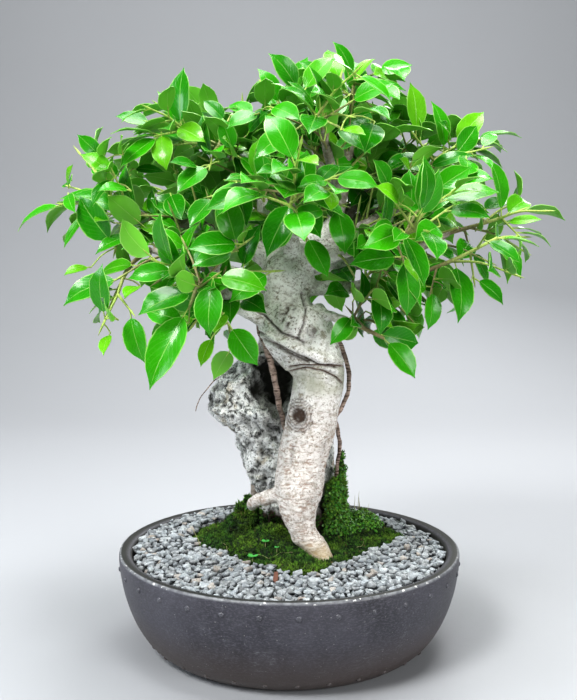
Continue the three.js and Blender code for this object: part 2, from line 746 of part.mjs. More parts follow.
// Its uneven edge seen from in front, as x, z, by an eye at this height and distance
const crownEdge = [
  [-238, 378], [-201, 398], [-188, 438], [-174, 452], [-151, 468], [-124, 470], [-113, 498], [-92, 508],
  [-85, 478], [-64, 474], [-36, 486], [-24, 502], [6, 505], [12, 515], [41, 530], [74, 522], [100, 516],
  [120, 492], [143, 470], [168, 464], [200, 453], [196, 429], [222, 396], [240, 387], [236, 366], [226, 354],
  [205, 331], [190, 304], [155, 286], [131, 300], [114, 242], [87, 261], [74, 274], [36, 274], [10, 281],
  [-28, 250], [-69, 245], [-124, 231], [-139, 254], [-168, 258], [-187, 302], [-202, 331],
];
const EYE_HEIGHT = 324;
const EYE_DISTANCE = 796;

// Inside the crown, a line to the right of a point crosses its edge an odd number of times
function inCrown(point) {
  const scale = EYE_DISTANCE / (EYE_DISTANCE + point.y);
  const x = point.x * scale;
  const z = EYE_HEIGHT + (point.z - EYE_HEIGHT) * scale;
  const crossings = crownEdge.filter(([x1, z1], i) => {
    const [x0, z0] = crownEdge.at(i - 1);
    return (z0 > z) !== (z1 > z) && x < x0 + ((x1 - x0) * (z - z0)) / (z1 - z0);
  });
  return crossings.length % 2 === 1 && point.clone().sub(CROWN_CENTRE).divide(CROWN_REACH).length() < 1;
}

// Which way a leaf faces: up, and outwards from where the branches part
const CROWN_HEART = v(5, 0, 330);

function leafFace(foot, draw) {
  const outward = foot.clone().sub(CROWN_HEART).normalize();
  return v(0, 0, 0.6).addScaledVector(outward, 1.2)
    .add(v(draw() - 0.5, draw() - 0.5, draw() - 0.5).multiplyScalar(0.9))
    .normalize();
}

function growLeaf(foot, direction, seed, carriers, scale) {
  for (let attempt = 0; attempt < LEAF_TRIES; attempt += 1) {
    const draw = random(seed * 16 + attempt);
    const length = mix(LEAF_LENGTH[0], LEAF_LENGTH[1], draw()) * scale * (attempt < 4 ? 1 : 0.8);
    const wander = v(draw() - 0.5, draw() - 0.5, draw() - 0.65).multiplyScalar(0.5 + 0.25 * attempt);
    const ahead = direction.clone().add(wander).normalize();
    const leaf = {
      foot,
      tip: foot.clone().addScaledVector(ahead, length),
      face: leafFace(foot, draw),
      width: length * LEAF_WIDTH * mix(0.9, 1.12, draw()),
      arch: mix(0.02, 0.1, draw()),
      fold: mix(0.1, 0.45, draw()),
    };
    const placed = inCrown(leaf.tip) && placeLeaf(leaf, carriers);
    if (placed) return placed;
  }
  return null;
}

// A shoot from a place on the stem to the foot of its last leaf; a very short one is only a leaf
function shootPath(start, end) {
  if (start.distanceTo(end) < SHORTEST_SHOOT) return [start];
  if (start.distanceTo(end) < STRAIGHT_SHOOT) return [start, end];
  const middle = start.clone().lerp(end, 0.5).addScaledVector(UP, 0.07 * start.distanceTo(end));
  return [start, middle, end];
}

// A shoot leaves the middle of its stem at a point, thickens to its collar, and runs on past the
// foot of its last leaf to a small bud
function shootSolid(path) {
  const [before, last] = path.slice(-2);
  const bud = last.clone().add(last.clone().sub(before).setLength(BUD_LENGTH));
  const collar = path[0].clone().add(path[1].clone().sub(path[0]).setLength(COLLAR_LENGTH));
  const stations = [path[0], collar, ...path.slice(1, -1), bud];
  const share = (i) => (i - 1) / (stations.length - 2);
  const radiusAt = (i) => (i === 0 ? 0 : mix(SHOOT_RADIUS[0], SHOOT_RADIUS[1], share(i)));
  return solid(tube(stations, radiusAt, 3));
}

function leavesAlong(path, seed, carriers) {
  const solids = [];
  const length = path[path.length - 1].distanceTo(path[0]);
  const count = Math.floor(length / LEAF_SPACING);
  for (let i = 1; i <= count; i += 1) {
    const share = 1 - i * (LEAF_SPACING / length);
    if (share < 0.12) break;
    const foot = onPath(path, share);
    const ahead = path[path.length - 1].clone().sub(path[0]).normalize();
    const across = ahead.clone().cross(Math.abs(ahead.z) < 0.8 ? UP : v(1, 0, 0)).normalize();
    across.applyAxisAngle(ahead, seed * 1.3 + i * GOLDEN_ANGLE);
    const direction = ahead.multiplyScalar(0.55).add(across).normalize();
    solids.push(growLeaf(foot, direction, seed * 32 + i, carriers, 1));
  }
  return solids.filter(Boolean);
}

// Point at a share of the way along a bent path
function onPath(path, share) {
  const lengths = path.slice(1).map((p, i) => p.distanceTo(path[i]));
  let rest = share * lengths.reduce((a, b) => a + b, 0);
  for (let i = 0; i < lengths.length; i += 1) {
    if (rest <= lengths[i]) return path[i].clone().lerp(path[i + 1], rest / lengths[i]);
    rest -= lengths[i];
  }
  return path[path.length - 1].clone();
}

function nearestShare(path, point) {
  let best = FIRST_SHOOT;
  for (let share = FIRST_SHOOT; share < 0.96; share += 0.1) {
    if (onPath(path, share).distanceTo(point) < onPath(path, best).distanceTo(point)) best = share;
  }
  return best;
}

function woodEnd(name) {
  const [before, end] = vectors(branches[name].path.slice(-2));
  return { end, ahead: end.clone().sub(before).normalize() };
}

function stemPath(name) {
  const { end, ahead } = woodEnd(name);
  return [end.clone().addScaledVector(ahead, GAP), ...vectors(sprays[name].stem)];
}

function stemSolid(name) {
  const path = stemPath(name);
  const radiusAt = (i) => mix(STEM_RADIUS[0], STEM_RADIUS[1], i / (path.length - 1));
  return solid(tube(path, radiusAt, 5, woodEnd(name).ahead));
}

function mainShoots(name, number) {
  const path = stemPath(name);
  return sprays[name].shoots.map(([foot, tip], i) => {
    const shoot = shootPath(onPath(path, nearestShare(path, v(...foot))), v(...foot));
    const last = shoot[shoot.length - 1];
    const owner = `${name}_${i}`;
    addRods(shoot, () => SHOOT_RADIUS[0], owner);
    const seed = number * 100 + i;
    const blade = aimLeaf(last, v(...tip), seed, [name, owner]);
    return { path: shoot, owner, blades: blade ? [blade] : [], seed };
  });
}

// A leaf from a foot to a given tip, turned about that line and narrowed until it is clear
function aimLeaf(foot, tip, seed, carriers) {
  const length = tip.distanceTo(foot);
  for (let attempt = 0; attempt < LEAF_TRIES; attempt += 1) {
    const draw = random(seed * 16 + attempt);
    const placed = placeLeaf({
      foot,
      tip,
      face: leafFace(foot, draw),
      width: Math.min(length * LEAF_WIDTH, WIDEST_LEAF) * mix(0.95, 1.15, draw()) * (1 - 0.04 * attempt),
      arch: mix(0.02, 0.08, draw()),
      fold: mix(0.1, 0.4, draw()),
    }, carriers);
    if (placed) return placed;
  }
  return null;
}

function ruleShoots(name, number) {
  const path = stemPath(name);
  const ahead = path[2].clone().sub(path[0]).normalize();
  const shoots = [];
  for (let i = 0; i < sprays[name].more; i += 1) {
    for (let attempt = 0; attempt < LEAF_TRIES; attempt += 1) {
      const seed = number * 100 + 50 + i;
      const draw = random(seed * 16 + attempt);
      const start = onPath(path, mix(0.2, 1, (i + 0.5) / sprays[name].more));
      const across = ahead.clone().cross(Math.abs(ahead.z) < 0.8 ? UP : v(1, 0, 0)).normalize();
      across.applyAxisAngle(ahead, i * GOLDEN_ANGLE + draw() * 2 + attempt);
      const outward = start.clone().sub(CROWN_HEART).normalize();
      const direction = across.add(outward).addScaledVector(ahead, 0.3).normalize();
      const end = start.clone().addScaledVector(direction, mix(SHOOT_LENGTH[0], SHOOT_LENGTH[1], draw()));
      const shoot = shootPath(start, end);
      const points = [0.3, 0.4, 0.5, 0.6, 0.7, 0.8, 0.9, 1].map((share) => onPath(shoot, share));
      const clear = clearOfRods(points, SHOOT_CLEAR, [name], start) && clearOfLeaves(points, SHOOT_CLEAR);
      if (inCrown(end) && clear) {
        const owner = `${name}_more_${i}`;
        addRods(shoot, () => SHOOT_RADIUS[0], owner);
        const last = growLeaf(end, direction, seed * 32, [name, owner], 0.9);
        shoots.push({ path: shoot, owner, blades: last ? [last] : [], seed });
        break;
      }
    }
  }
  return shoots;
}

function growSprays() {
  const names = Object.keys(sprays);
  addRods(vectors(trunkStations), (i) => trunkStations[i][3], 'trunk');
  for (const { path, radius } of Object.values(branches)) {
    addRods(vectors(path), () => radius[0] * 0.8, 'wood');
  }
  names.forEach((name) => addRods(stemPath(name), () => STEM_RADIUS[0], name));
  const shoots = names.map((name, number) => mainShoots(name, number));
  names.forEach((name, number) => shoots[number].push(...ruleShoots(name, number)));
  return names.map((name, number) => {
    const solids = [stemSolid(name)];
    for (const { path, owner, blades, seed } of shoots[number]) {
      if (path.length > 1) solids.push(shootSolid(path));
      solids.push(...blades, ...leavesAlong(path, seed, [name, owner]));
    }
    return [`spray_${name}`, union(solids)];
  });
}

const group = new THREE.Group();

function addPiece(name, manifold, finish) {
  const mesh = new THREE.Mesh(geometryOf(manifold), new THREE.MeshStandardMaterial(FINISH[finish]));
  mesh.name = name;
  group.add(mesh);
}

const wideTrunk = trunk(GAP);
addPiece('pot', pot(), 'pot');
addPiece('drain_screen', drainScreen(), 'drain_screen');
addPiece('soil', soil().subtract(wideTrunk), 'soil');
addPiece('gravel', gravel(), 'gravel');
addPiece('moss', moss().subtract(rock(GAP)).subtract(wideTrunk), 'moss');
addPiece('rock', rock().subtract(wideTrunk), 'rock');
addPiece('trunk', trunk(), 'trunk');
for (const [name, manifold] of growSprays()) addPiece(name, manifold, 'foliage');

export default group;
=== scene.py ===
"""The finished look of a Chinese banyan bonsai, grown root over rock in a round unglazed pot.

Sizes in the lists below are millimetres, +X is the viewer's right and -Y faces the viewer.
Meshes are made in metres, in the same frame as the solid parts.
"""

import math

import bpy
import numpy as np
from bpy.props import FloatProperty, FloatVectorProperty, IntProperty, PointerProperty
from mathutils import Matrix, Vector
from mathutils import noise as field
from mathutils.bvhtree import BVHTree
from mathutils.kdtree import KDTree


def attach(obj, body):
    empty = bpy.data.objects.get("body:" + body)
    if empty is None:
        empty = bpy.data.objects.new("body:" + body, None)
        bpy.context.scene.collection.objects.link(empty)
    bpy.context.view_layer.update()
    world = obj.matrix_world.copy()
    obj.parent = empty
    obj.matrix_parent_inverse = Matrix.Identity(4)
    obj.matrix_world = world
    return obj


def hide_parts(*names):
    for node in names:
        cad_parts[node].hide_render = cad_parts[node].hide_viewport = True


bl_info = {
    "name": "Chinese banyan bonsai",
    "version": (1, 0, 0),
    "blender": (4, 5, 0),
    "location": "3D View > Sidebar > Banyan",
    "description": "Dresses the solid parts of the banyan bonsai with fine pieces and finishes",
    "category": "Object",
}

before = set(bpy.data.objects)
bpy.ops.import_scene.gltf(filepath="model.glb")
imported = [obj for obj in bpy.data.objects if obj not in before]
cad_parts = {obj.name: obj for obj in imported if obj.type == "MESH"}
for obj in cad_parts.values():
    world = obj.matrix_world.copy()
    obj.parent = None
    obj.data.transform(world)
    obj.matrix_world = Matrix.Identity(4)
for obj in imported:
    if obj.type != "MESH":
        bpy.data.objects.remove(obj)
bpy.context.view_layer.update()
MM = 0.001
WORD = 0xFFFFFFFF
GOLDEN_ANGLE = math.pi * (3 - math.sqrt(5))
UP = Vector((0, 0, 1))

# Pot wall from its foot ring up to the rim and down inside, as radius and height
POT_OUTSIDE = [(112, 0), (120, 3), (131, 13), (141, 30), (148, 50), (151.5, 68), (152.5, 79)]
POT_RIM = [
    (152.5, 82.6), (152.2, 83.9), (151.4, 84.8), (150.2, 85), (147, 84.6), (143.6, 83.8), (141.6, 82.4),
]
POT_INSIDE = [(141, 81), (141, 58), (135, 34), (123, 17), (100, 11), (9, 11), (9, 6), (97, 6), (100, 0)]

# Heights of the two rings of rivets, and how far they are turned from the viewer in degrees
RIVET_HEIGHTS = (72.7, 10)
RIVET_TURN = 2.7

# The grid that the stones lie on, and its layers as a share of the stone spacing, lowest and highest
GRID_REACH = 140
BED_REACH = 138
BED_TOP = 76.5
ROW_GAP = 0.87
JITTER = 0.8
STONE_LAYERS = ((1, 75.2, 77.6), (1.3, 79, 81.4))

# The one chip of bark on the gravel
CHIP_SIZE = (4.2, 10, 2.6)
CHIP_PLACE = (-11, -92, 84)

# Edge of the moss patch, seen from above
MOSS_OUTLINE = [
    (110, 33), (95, 5), (70, -22), (42, -52), (24, -76), (2, -83), (-19, -62), (-37, -52), (-57, -18),
    (-88, 5), (-92, 40), (-78, 66), (-45, 82), (0, 88), (50, 80), (92, 62),
]

# Dry straws that lie on the moss, seen from above
STRAWS = [
    [(-27, -42), (-18, -49), (-7, -46), (3, -50)],
    [(-62, -4), (-57, -12), (-55, -19)],
    [(60, -20), (66, -12), (68, -2)],
]

# Where the blades of grass stand, and the seedlings with the length of their leaves
GRASS = [
    (52, 44), (55, 49), (59, 45), (63, 50), (67, 44), (72, 48), (57, 52), (53, 38), (61, 40), (65, 37),
    (56, 42), (69, 41), (50, 48), (-80, -2),
]
SEEDLINGS = [(-21, -36, 3.6), (-11, -43, 2.2), (-31.5, -50, 4.6)]

# The thick root that hugs the front of the rock: x, y, z, radius
TRUNK_STATIONS = [
    (36, -44, 63, 6.5), (26, -40, 88, 9.5), (12, -38, 106, 12), (8, -34, 125, 16.5), (8, -30, 143, 21.5),
    (12, -27, 168, 21), (20, -25, 204, 22.3), (25, -25, 238, 22.3), (22, -23, 254, 24.6),
    (14, -21, 268, 28.6), (6, -19, 281, 32), (-1, -17, 293, 28), (-2, -15, 306, 20.5), (-1, -11, 330, 24),
    (6, -7, 355, 13),
]

# Woody roots that grow out of the trunk, with their first and last radius
THICK_ROOTS = [
    ([(0, -30, 142), (-13, -29, 136), (-23, -25, 132), (-31, -16, 127), (-34, -2, 120)], (8, 5)),
    ([(4, -4, 306), (-6, 26, 284), (-8, 48, 252), (-6, 64, 214), (2, 62, 160), (8, 58, 110), (12, 62, 74)],
     (13, 7)),
    ([(-12, -2, 300), (-18, 28, 274), (-30, 50, 240), (-42, 56, 206), (-40, 52, 172), (-32, 46, 140),
      (-34, 50, 84)], (9, 5)),
    ([(14, -2, 300), (14, 24, 268), (18, 46, 230), (34, 50, 180), (38, 44, 130), (46, 52, 84)], (10, 5.5)),
    ([(-20, -42, 279), (-4, -50, 271), (16, -51, 263), (34, -44, 257), (44, -30, 254)], (3.2, 3.6)),
]

# Thin brown roots that hang beside the trunk, the last at the rock's left edge
HANGING_ROOTS = [
    ([(-22, -26, 292), (-26, -24, 282), (-20, -27, 267), (-14, -23, 243), (-10, -20, 222), (-6, -21, 203),
      (0, -26, 184)], (3.4, 2.3)),
    ([(36, -28, 280), (45, -24, 267), (51, -22, 248), (52, -21, 231), (48, -22, 217), (40, -24, 204)],
     (2.2, 1.7)),
    ([(38, -22, 206), (43, -16, 192), (45, -8, 174), (43, -2, 152), (43, 4, 146)], (2, 1.5)),
    ([(-55, 27, 240), (-67, 25, 233), (-74, 24, 226), (-81, 22, 217), (-86, 20, 207), (-86.5, 20, 203)],
     (0.6, 0.35)),
]

# The seed of the small bends in the hanging roots, which makes them the same each time
BEND_SEED = 5

# Thin roots that ring the front of the trunk, and cracks in its bark, as x and z along each
RING_ROOTS = [
    [(1, 250.5), (12, 252.8), (26, 252.6), (40, 251.3), (48, 250)],
    [(1, 246.2), (8, 248.8), (15, 250.2), (28, 247.9), (40, 241.5), (46, 235)],
]
BARK_CRACKS = [
    [(11, 312), (13.8, 300), (12.6, 289), (9.4, 281), (6.6, 275)],
    [(-27, 297), (-22, 295), (-14.6, 286.8), (-7, 280), (6.6, 275), (12, 271.5)],
    [(-26, 280), (-18, 275), (-9.5, 270), (5.3, 262.7), (22.6, 255.2), (39.9, 250.2)],
    [(-22, 274), (-10, 268.4), (4, 260.4), (16, 255.6)],
]

BRANCHES = {
    "far_left": ([(-10, -8, 335), (-43, -10, 359), (-78, -15, 371), (-107, -20, 375)], (10, 3.6)),
    "low_left": ([(-8, -14, 316), (-60, -25, 332), (-93, -35, 345), (-118, -40, 349)], (9, 3.2)),
    "front_left": ([(-10, -20, 286), (-42, -40, 302), (-56, -60, 315), (-68, -80, 322)], (9, 3.2)),
    "upper_left": ([(-2, -8, 345), (-19, 0, 372), (-24, 5, 395), (-35, 10, 430)], (10, 3.4)),
    "top_left": ([(43, 8, 390), (30, 3, 420), (10, 0, 448)], (6, 3)),
    "top": ([(8, -6, 346), (36, 5, 368), (43, 8, 390), (52, 10, 439), (54, 10, 466)], (12, 3.4)),
    "front_top": ([(44, 8, 396), (34, -30, 426), (26, -66, 446)], (6, 3)),
    "upper_right": ([(8, -8, 342), (36, -5, 350), (68, 0, 370), (92, 5, 386), (108, 6, 404)], (12, 3.6)),
    "far_right": ([(8, -6, 334), (32, 0, 338), (77, 10, 341), (114, 15, 352), (147, 20, 367)], (9, 3.2)),
    "low_right": ([(4, -14, 318), (40, -16, 317), (71, -22, 320), (108, -28, 328)], (8, 3.2)),
    "front": ([(2, -12, 340), (2, -50, 369), (8, -80, 392)], (9, 3.2)),
    "front_right": ([(6, -12, 336), (51, -50, 349), (76, -85, 355)], (8, 3.2)),
    "low_shoot": ([(20, -26, 298), (47, -45, 290), (58, -58, 286)], (5, 2.6)),
    "back_left": ([(0, -4, 338), (-37, 56, 376), (-74, 100, 396)], (9, 3.4)),
    "back_right": ([(6, -4, 340), (54, 62, 376), (97, 104, 396)], (9, 3.4)),
    "back_top": ([(4, -4, 346), (10, 50, 399), (16, 84, 436)], (9, 3.2)),
    "back": ([(4, -2, 332), (10, 70, 346), (15, 118, 356)], (9, 3.2)),
    "back_upper_left": ([(8, 40, 388), (-26, 62, 424), (-62, 76, 446)], (5.5, 3)),
    "back_upper_right": ([(46, 50, 369), (76, 60, 414), (108, 66, 436)], (5.5, 3)),
}

# Healed places on the front of the trunk: centre x and z, half width and half height
OVAL_SCAR = (-0.5, 294, 12.5, 17)
KNOT = (8.4, 208.6, 6.6, 7.6)
BUD_SCAR = (19.9, 281.5, 4.2, 4.6)

# Each spray: its green stem, its long shoots as the foot and tip of their last leaf, and how many more
SPRAYS = {
    "far_left": ([(-140, -16, 384), (-178, 0, 392)], [
        (-200, 8, 392, -247.5, 14, 371), (-157, -30, 425, -178, -36, 446), (-148, -30, 352, -181, -26, 396),
        (-146, -40, 410, -163, -56, 386), (-150, 28, 416, -186, 44, 428),
    ], 3),
    "low_left": ([(-134, -52, 334), (-142, -62, 310)], [
        (-150, -52, 330, -186, -68, 306), (-148, -80, 292, -149, -94, 336), (-128, -80, 300, -116, -88, 258),
    ], 2),
    "front_left": ([(-72, -100, 318), (-76, -116, 304)], [
        (-78, -112, 292, -107, -132, 243), (-72, -112, 326, -112, -136, 300),
        (-58, -116, 326, -61, -128, 282), (-49, -88, 290, -25, -92, 256), (-36, -92, 352, -78, -112, 348),
        (-14, -76, 331, -47, -96, 308), (-84, -74, 352, -102, -88, 324),
    ], 2),
    "upper_left": ([(-70, 6, 446), (-98, 2, 456)], [
        (-105, 0, 460, -94, 5, 511), (-110, -20, 448, -142, -36, 420), (-118, -5, 460, -150, -12, 466),
        (-47, -20, 432, -58, -24, 462), (-56, 18, 464, -78, 26, 486), (-66, -40, 420, -92, -62, 396),
    ], 3),
    "top_left": ([(0, 0, 462), (-8, 0, 476)], [
        (-12, 0, 482, -26, -6, 508), (4, 6, 488, 16, 10, 521), (-24, -22, 466, -52, -40, 452),
        (4, -24, 466, -4, -56, 446), (-30, 20, 470, -56, 42, 486),
    ], 2),
    "top": ([(56, 8, 488), (58, 6, 502)], [
        (56, 4, 508, 40, -2, 532), (76, 12, 506, 110, 18, 516), (44, -20, 484, 8, -30, 508),
        (50, -36, 478, 20, -58, 452), (70, -16, 490, 92, -44, 474), (60, 30, 496, 70, 62, 506),
    ], 3),
    "front_top": ([(22, -90, 450), (20, -108, 448)], [
        (4, -104, 438, -26, -122, 416), (34, -116, 440, 60, -136, 418), (20, -122, 446, 14, -160, 428),
        (8, -84, 470, -14, -98, 498), (46, -82, 462, 80, -96, 476),
    ], 2),
    "upper_right": ([(130, 10, 430), (150, 18, 444)], [
        (110, -8, 448, 105, -12, 494), (134, 8, 446, 127, 6, 482), (154, 20, 450, 176, 24, 476),
        (166, 25, 449, 212, 30, 456), (130, -32, 410, 100, -48, 404), (138, -30, 408, 170, -44, 410),
    ], 3),
    "far_right": ([(172, 12, 374), (192, 8, 380)], [
        (186, 0, 386, 177, -2, 432), (204, 6, 385, 247.5, 10, 381), (200, -2, 366, 232, -4, 356),
        (176, 34, 386, 212, 52, 400), (166, 30, 352, 188, 44, 320),
    ], 3),
    "low_right": ([(142, -34, 342), (178, -28, 360)], [
        (184, -24, 362, 199, -34, 326), (162, -46, 358, 190, -62, 338), (143, -48, 338, 143, -58, 290),
        (160, -20, 326, 188, -20, 304), (120, -44, 318, 118, -48, 282),
    ], 2),
    "front": ([(4, -106, 388), (0, -134, 378)], [
        (4, -108, 372, -18, -122, 342), (-42, -84, 402, -33, -98, 366), (36, -104, 382, 43, -114, 344),
        (12, -94, 360, 30, -106, 326), (-60, -66, 392, -80, -80, 366), (4, -152, 374, 10, -190, 352),
        (-26, -134, 388, -60, -152, 374), (30, -136, 398, 64, -152, 392),
    ], 2),
    "front_right": ([(90, -106, 360), (98, -122, 362)], [
        (88, -96, 342, 46, -110, 336), (72, -66, 322, 75, -76, 280), (118, -110, 376, 150, -126, 372),
        (100, -136, 360, 104, -172, 340), (76, -124, 386, 60, -150, 410), (112, -84, 392, 142, -92, 412),
    ], 3),
    "low_shoot": ([(70, -64, 280), (78, -66, 276)], [
        (52, -66, 296, 33, -80, 272), (82, -66, 274, 103, -72, 244),
    ], 0),
    "back_left": ([(-96, 120, 402), (-120, 134, 404)], [
        (-140, 136, 404, -176, 148, 392), (-100, 146, 392, -112, 178, 374), (-110, 104, 428, -144, 112, 444),
        (-120, 92, 380, -158, 94, 362),
    ], 5),
    "back_right": ([(116, 120, 402), (136, 128, 404)], [
        (150, 130, 404, 186, 140, 390), (116, 146, 392, 122, 180, 374), (134, 100, 428, 164, 108, 446),
        (140, 84, 384, 176, 82, 368),
    ], 5),
    "back_top": ([(18, 100, 452), (18, 112, 462)], [
        (18, 116, 468, 14, 140, 498), (-12, 116, 456, -44, 130, 464), (46, 112, 456, 80, 122, 462),
        (16, 60, 478, 12, 48, 516),
    ], 4),
    "back": ([(15, 136, 362), (14, 148, 364)], [
        (12, 152, 366, 8, 190, 350), (-18, 140, 352, -52, 156, 338), (44, 138, 350, 78, 152, 336),
        (-10, 110, 330, -30, 118, 292), (38, 108, 330, 54, 118, 292),
    ], 3),
    "back_upper_left": ([(-80, 82, 454), (-94, 84, 460)], [
        (-98, 84, 464, -122, 90, 490), (-70, 60, 474, -80, 44, 506),
    ], 5),
    "back_upper_right": ([(124, 70, 446), (138, 72, 452)], [
        (142, 72, 456, 170, 78, 476), (104, 52, 466, 100, 38, 500),
    ], 5),
}

# More leaves in the front of the crown, by spray: foot, tip, width as a share of length, and kind
FRONT_LEAVES = {
    "far_left": [
        (-123, -25, 368, -153, -43, 395, 0.5, "under"), (-151, -21, 373, -163, -45, 373, 0.6, "young"),
        (-134, -22, 363, -164, -40, 348, 0.36, "fresh"), (-103, -18, 399, -90, -45, 374, 0.5, "deep"),
        (-144, 30, 425, -111, 9, 420, 0.25, "deep"), (-132, -43, 398, -154, -68, 398, 0.4, "fresh"),
        (-6, -6, 332, -10, 10, 306, 0.42, "under"), (-170, -28, 335, -189, -46, 329, 0.4, "young"),
        (-177, 1, 386, -198, -10, 352, 0.22, "fresh"), (-203, 33, 408, -194, 12, 427, 0.4, "young"),
        (-194, -6, 400, -181, -38, 381, 0.3, "fresh"), (-141, -28, 430, -137, -53, 442, 0.5, "young"),
    ],
    "low_left": [
        (-115, -37, 354, -138, -62, 349, 0.3, "fresh"), (-149, -55, 280, -151, -78, 264, 0.4, "young"),
        (-137, -83, 292, -143, -113, 311, 0.5, "deep"), (-124, -53, 319, -133, -78, 311, 0.5, "young"),
        (-117, -38, 346, -128, -24, 318, 0.5, "under"),
    ],
    "front_left": [
        (-40, -90, 347, -76, -100, 335, 0.45, "fresh"), (-41, -41, 308, -20, -71, 299, 0.5, "deep"),
        (-48, -48, 312, -48, -77, 290, 0.45, "fresh"), (-52, -86, 298, -58, -111, 284, 0.5, "young"),
        (-61, -86, 280, -70, -98, 256, 0.42, "young"), (-46, -86, 270, -62, -72, 244, 0.5, "under"),
        (-77, -114, 291, -113, -102, 300, 0.45, "fresh"),
    ],
    "upper_left": [
        (-110, -18, 451, -104, -37, 417, 0.5, "fresh"), (-100, -3, 458, -72, -25, 442, 0.5, "fresh"),
        (-84, 15, 444, -106, 32, 436, 0.5, "under"), (-53, -2, 428, -72, 17, 423, 0.45, "under"),
        (-37, -10, 449, -17, -31, 468, 0.42, "deep"), (-104, 19, 423, -77, 2, 401, 0.42, "fresh"),
        (-75, -38, 418, -97, -64, 419, 0.4, "deep"), (-48, -26, 426, -54, -56, 441, 0.5, "deep"),
        (-58, -44, 422, -67, -77, 428, 0.6, "deep"), (-24, 6, 393, 2, -18, 382, 0.45, "fresh"),
    ],
    "top_left": [
        (-17, -39, 468, 9, -63, 453, 0.5, "fresh"), (-17, 2, 450, 12, -21, 448, 0.5, "fresh"),
        (-40, 22, 464, -50, -5, 466, 0.5, "young"),
    ],
    "top": [
        (88, 10, 511, 98, -23, 496, 0.6, "fresh"), (55, 9, 495, 65, -17, 497, 0.6, "young"),
        (89, 16, 502, 73, -10, 501, 0.6, "young"), (64, -3, 492, 99, -21, 487, 0.28, "fresh"),
        (55, 11, 478, 87, 22, 475, 0.3, "under"), (76, 13, 474, 47, -8, 457, 0.5, "deep"),
        (68, 12, 426, 33, -3, 424, 0.4, "fresh"), (29, 0, 380, 22, 11, 349, 0.45, "under"),
    ],
    "front_top": [
        (44, -122, 475, 31, -156, 479, 0.45, "fresh"), (63, -125, 441, 54, -154, 416, 0.5, "deep"),
        (37, -142, 432, 53, -166, 425, 0.3, "young"), (35, -25, 424, 35, -57, 437, 0.6, "deep"),
        (43, -12, 416, 62, -40, 401, 0.5, "deep"),
    ],
    "upper_right": [
        (142, 11, 446, 131, -20, 460, 0.4, "deep"), (120, 3, 422, 159, -15, 433, 0.3, "deep"),
        (160, -8, 432, 171, -39, 418, 0.3, "fresh"), (153, -14, 429, 146, -48, 410, 0.5, "fresh"),
        (107, -5, 416, 94, -29, 427, 0.45, "young"),
    ],
    "far_right": [
        (151, 21, 375, 124, -8, 380, 0.5, "fresh"), (149, 1, 370, 134, -25, 378, 0.45, "young"),
        (169, 18, 368, 167, -13, 387, 0.5, "deep"), (165, 27, 360, 149, -5, 342, 0.5, "fresh"),
        (129, 19, 354, 145, -9, 341, 0.4, "deep"), (192, 8, 374, 222, -7, 377, 0.3, "fresh"),
        (115, 17, 352, 101, 7, 381, 0.35, "young"), (42, 4, 334, 53, -29, 324, 0.6, "deep"),
    ],
    "low_right": [
        (130, -39, 319, 127, -20, 303, 0.6, "under"), (52, -17, 314, 31, -48, 313, 0.5, "fresh"),
    ],
    "front": [
        (30, -128, 397, 6, -156, 390, 0.35, "fresh"), (28, -147, 389, 10, -178, 378, 0.45, "fresh"),
        (28, -115, 377, 1, -139, 368, 0.4, "fresh"),
    ],
    "front_right": [
        (81, -140, 379, 62, -161, 391, 0.45, "young"), (115, -111, 365, 92, -141, 353, 0.5, "fresh"),
        (91, -94, 342, 98, -115, 324, 0.45, "young"), (74, -71, 333, 86, -50, 339, 0.6, "under"),
    ],
    "low_shoot": [
        (52, -64, 306, 53, -91, 319, 0.6, "young"), (64, -51, 298, 86, -63, 284, 0.35, "young"),
    ],
    "back_left": [
        (-19, 25, 354, -37, 10, 336, 0.5, "young"), (-8, 13, 348, 1, -20, 334, 0.5, "fresh"),
    ],
    "back_upper_right": [
        (81, 64, 427, 102, 42, 443, 0.45, "fresh"), (70, 60, 411, 57, 29, 392, 0.5, "deep"),
        (73, 72, 408, 68, 42, 385, 0.5, "deep"),
    ],
}

# How each kind of leaf looks: its tone from deep to fresh, its youth, and whether it shows its lower face
LEAF_KINDS = {
    "deep": (0.12, 0, False),
    "fresh": (0.7, 0, False),
    "young": (0.8, 0.8, False),
    "under": (0.7, 0.15, True),
}

# Half the blade's width at shares of the way from its base to its tip
BLADE_OUTLINE = [
    (0, 0.03), (0.06, 0.21), (0.15, 0.37), (0.29, 0.48), (0.46, 0.5), (0.63, 0.45), (0.78, 0.3),
    (0.89, 0.115), (0.95, 0.04), (1, 0.0),
]

# A few spots of the blade, as its share along the leaf and across its width
BLADE_SPOTS = [
    (0.25, 0), (0.45, -0.4), (0.45, 0), (0.45, 0.4), (0.72, -0.35), (0.72, 0), (0.72, 0.35), (0.97, 0),
]

# The crown is a dome, with this uneven edge of x and z seen from the height and distance of the eye
CROWN_CENTRE = Vector((0, 0, 388))
CROWN_REACH = Vector((246, 189, 142))
CROWN_HEART = Vector((5, 0, 330))
CROWN_EDGE = [
    (-238, 378), (-201, 398), (-188, 438), (-174, 452), (-151, 468), (-124, 470), (-113, 498), (-92, 508),
    (-85, 478), (-64, 474), (-36, 486), (-24, 502), (6, 505), (12, 515), (41, 530), (74, 522), (100, 516),
    (120, 492), (143, 470), (168, 464), (200, 453), (196, 429), (222, 396), (240, 387), (236, 366),
    (226, 354), (205, 331), (190, 304), (155, 286), (131, 300), (114, 242), (87, 261), (74, 274), (36, 274),
    (10, 281), (-28, 250), (-69, 245), (-124, 231), (-139, 254), (-168, 258), (-187, 302), (-202, 331),
]
EYE_HEIGHT = 324
EYE_DISTANCE = 796
EYE_OFFSET = -0.7

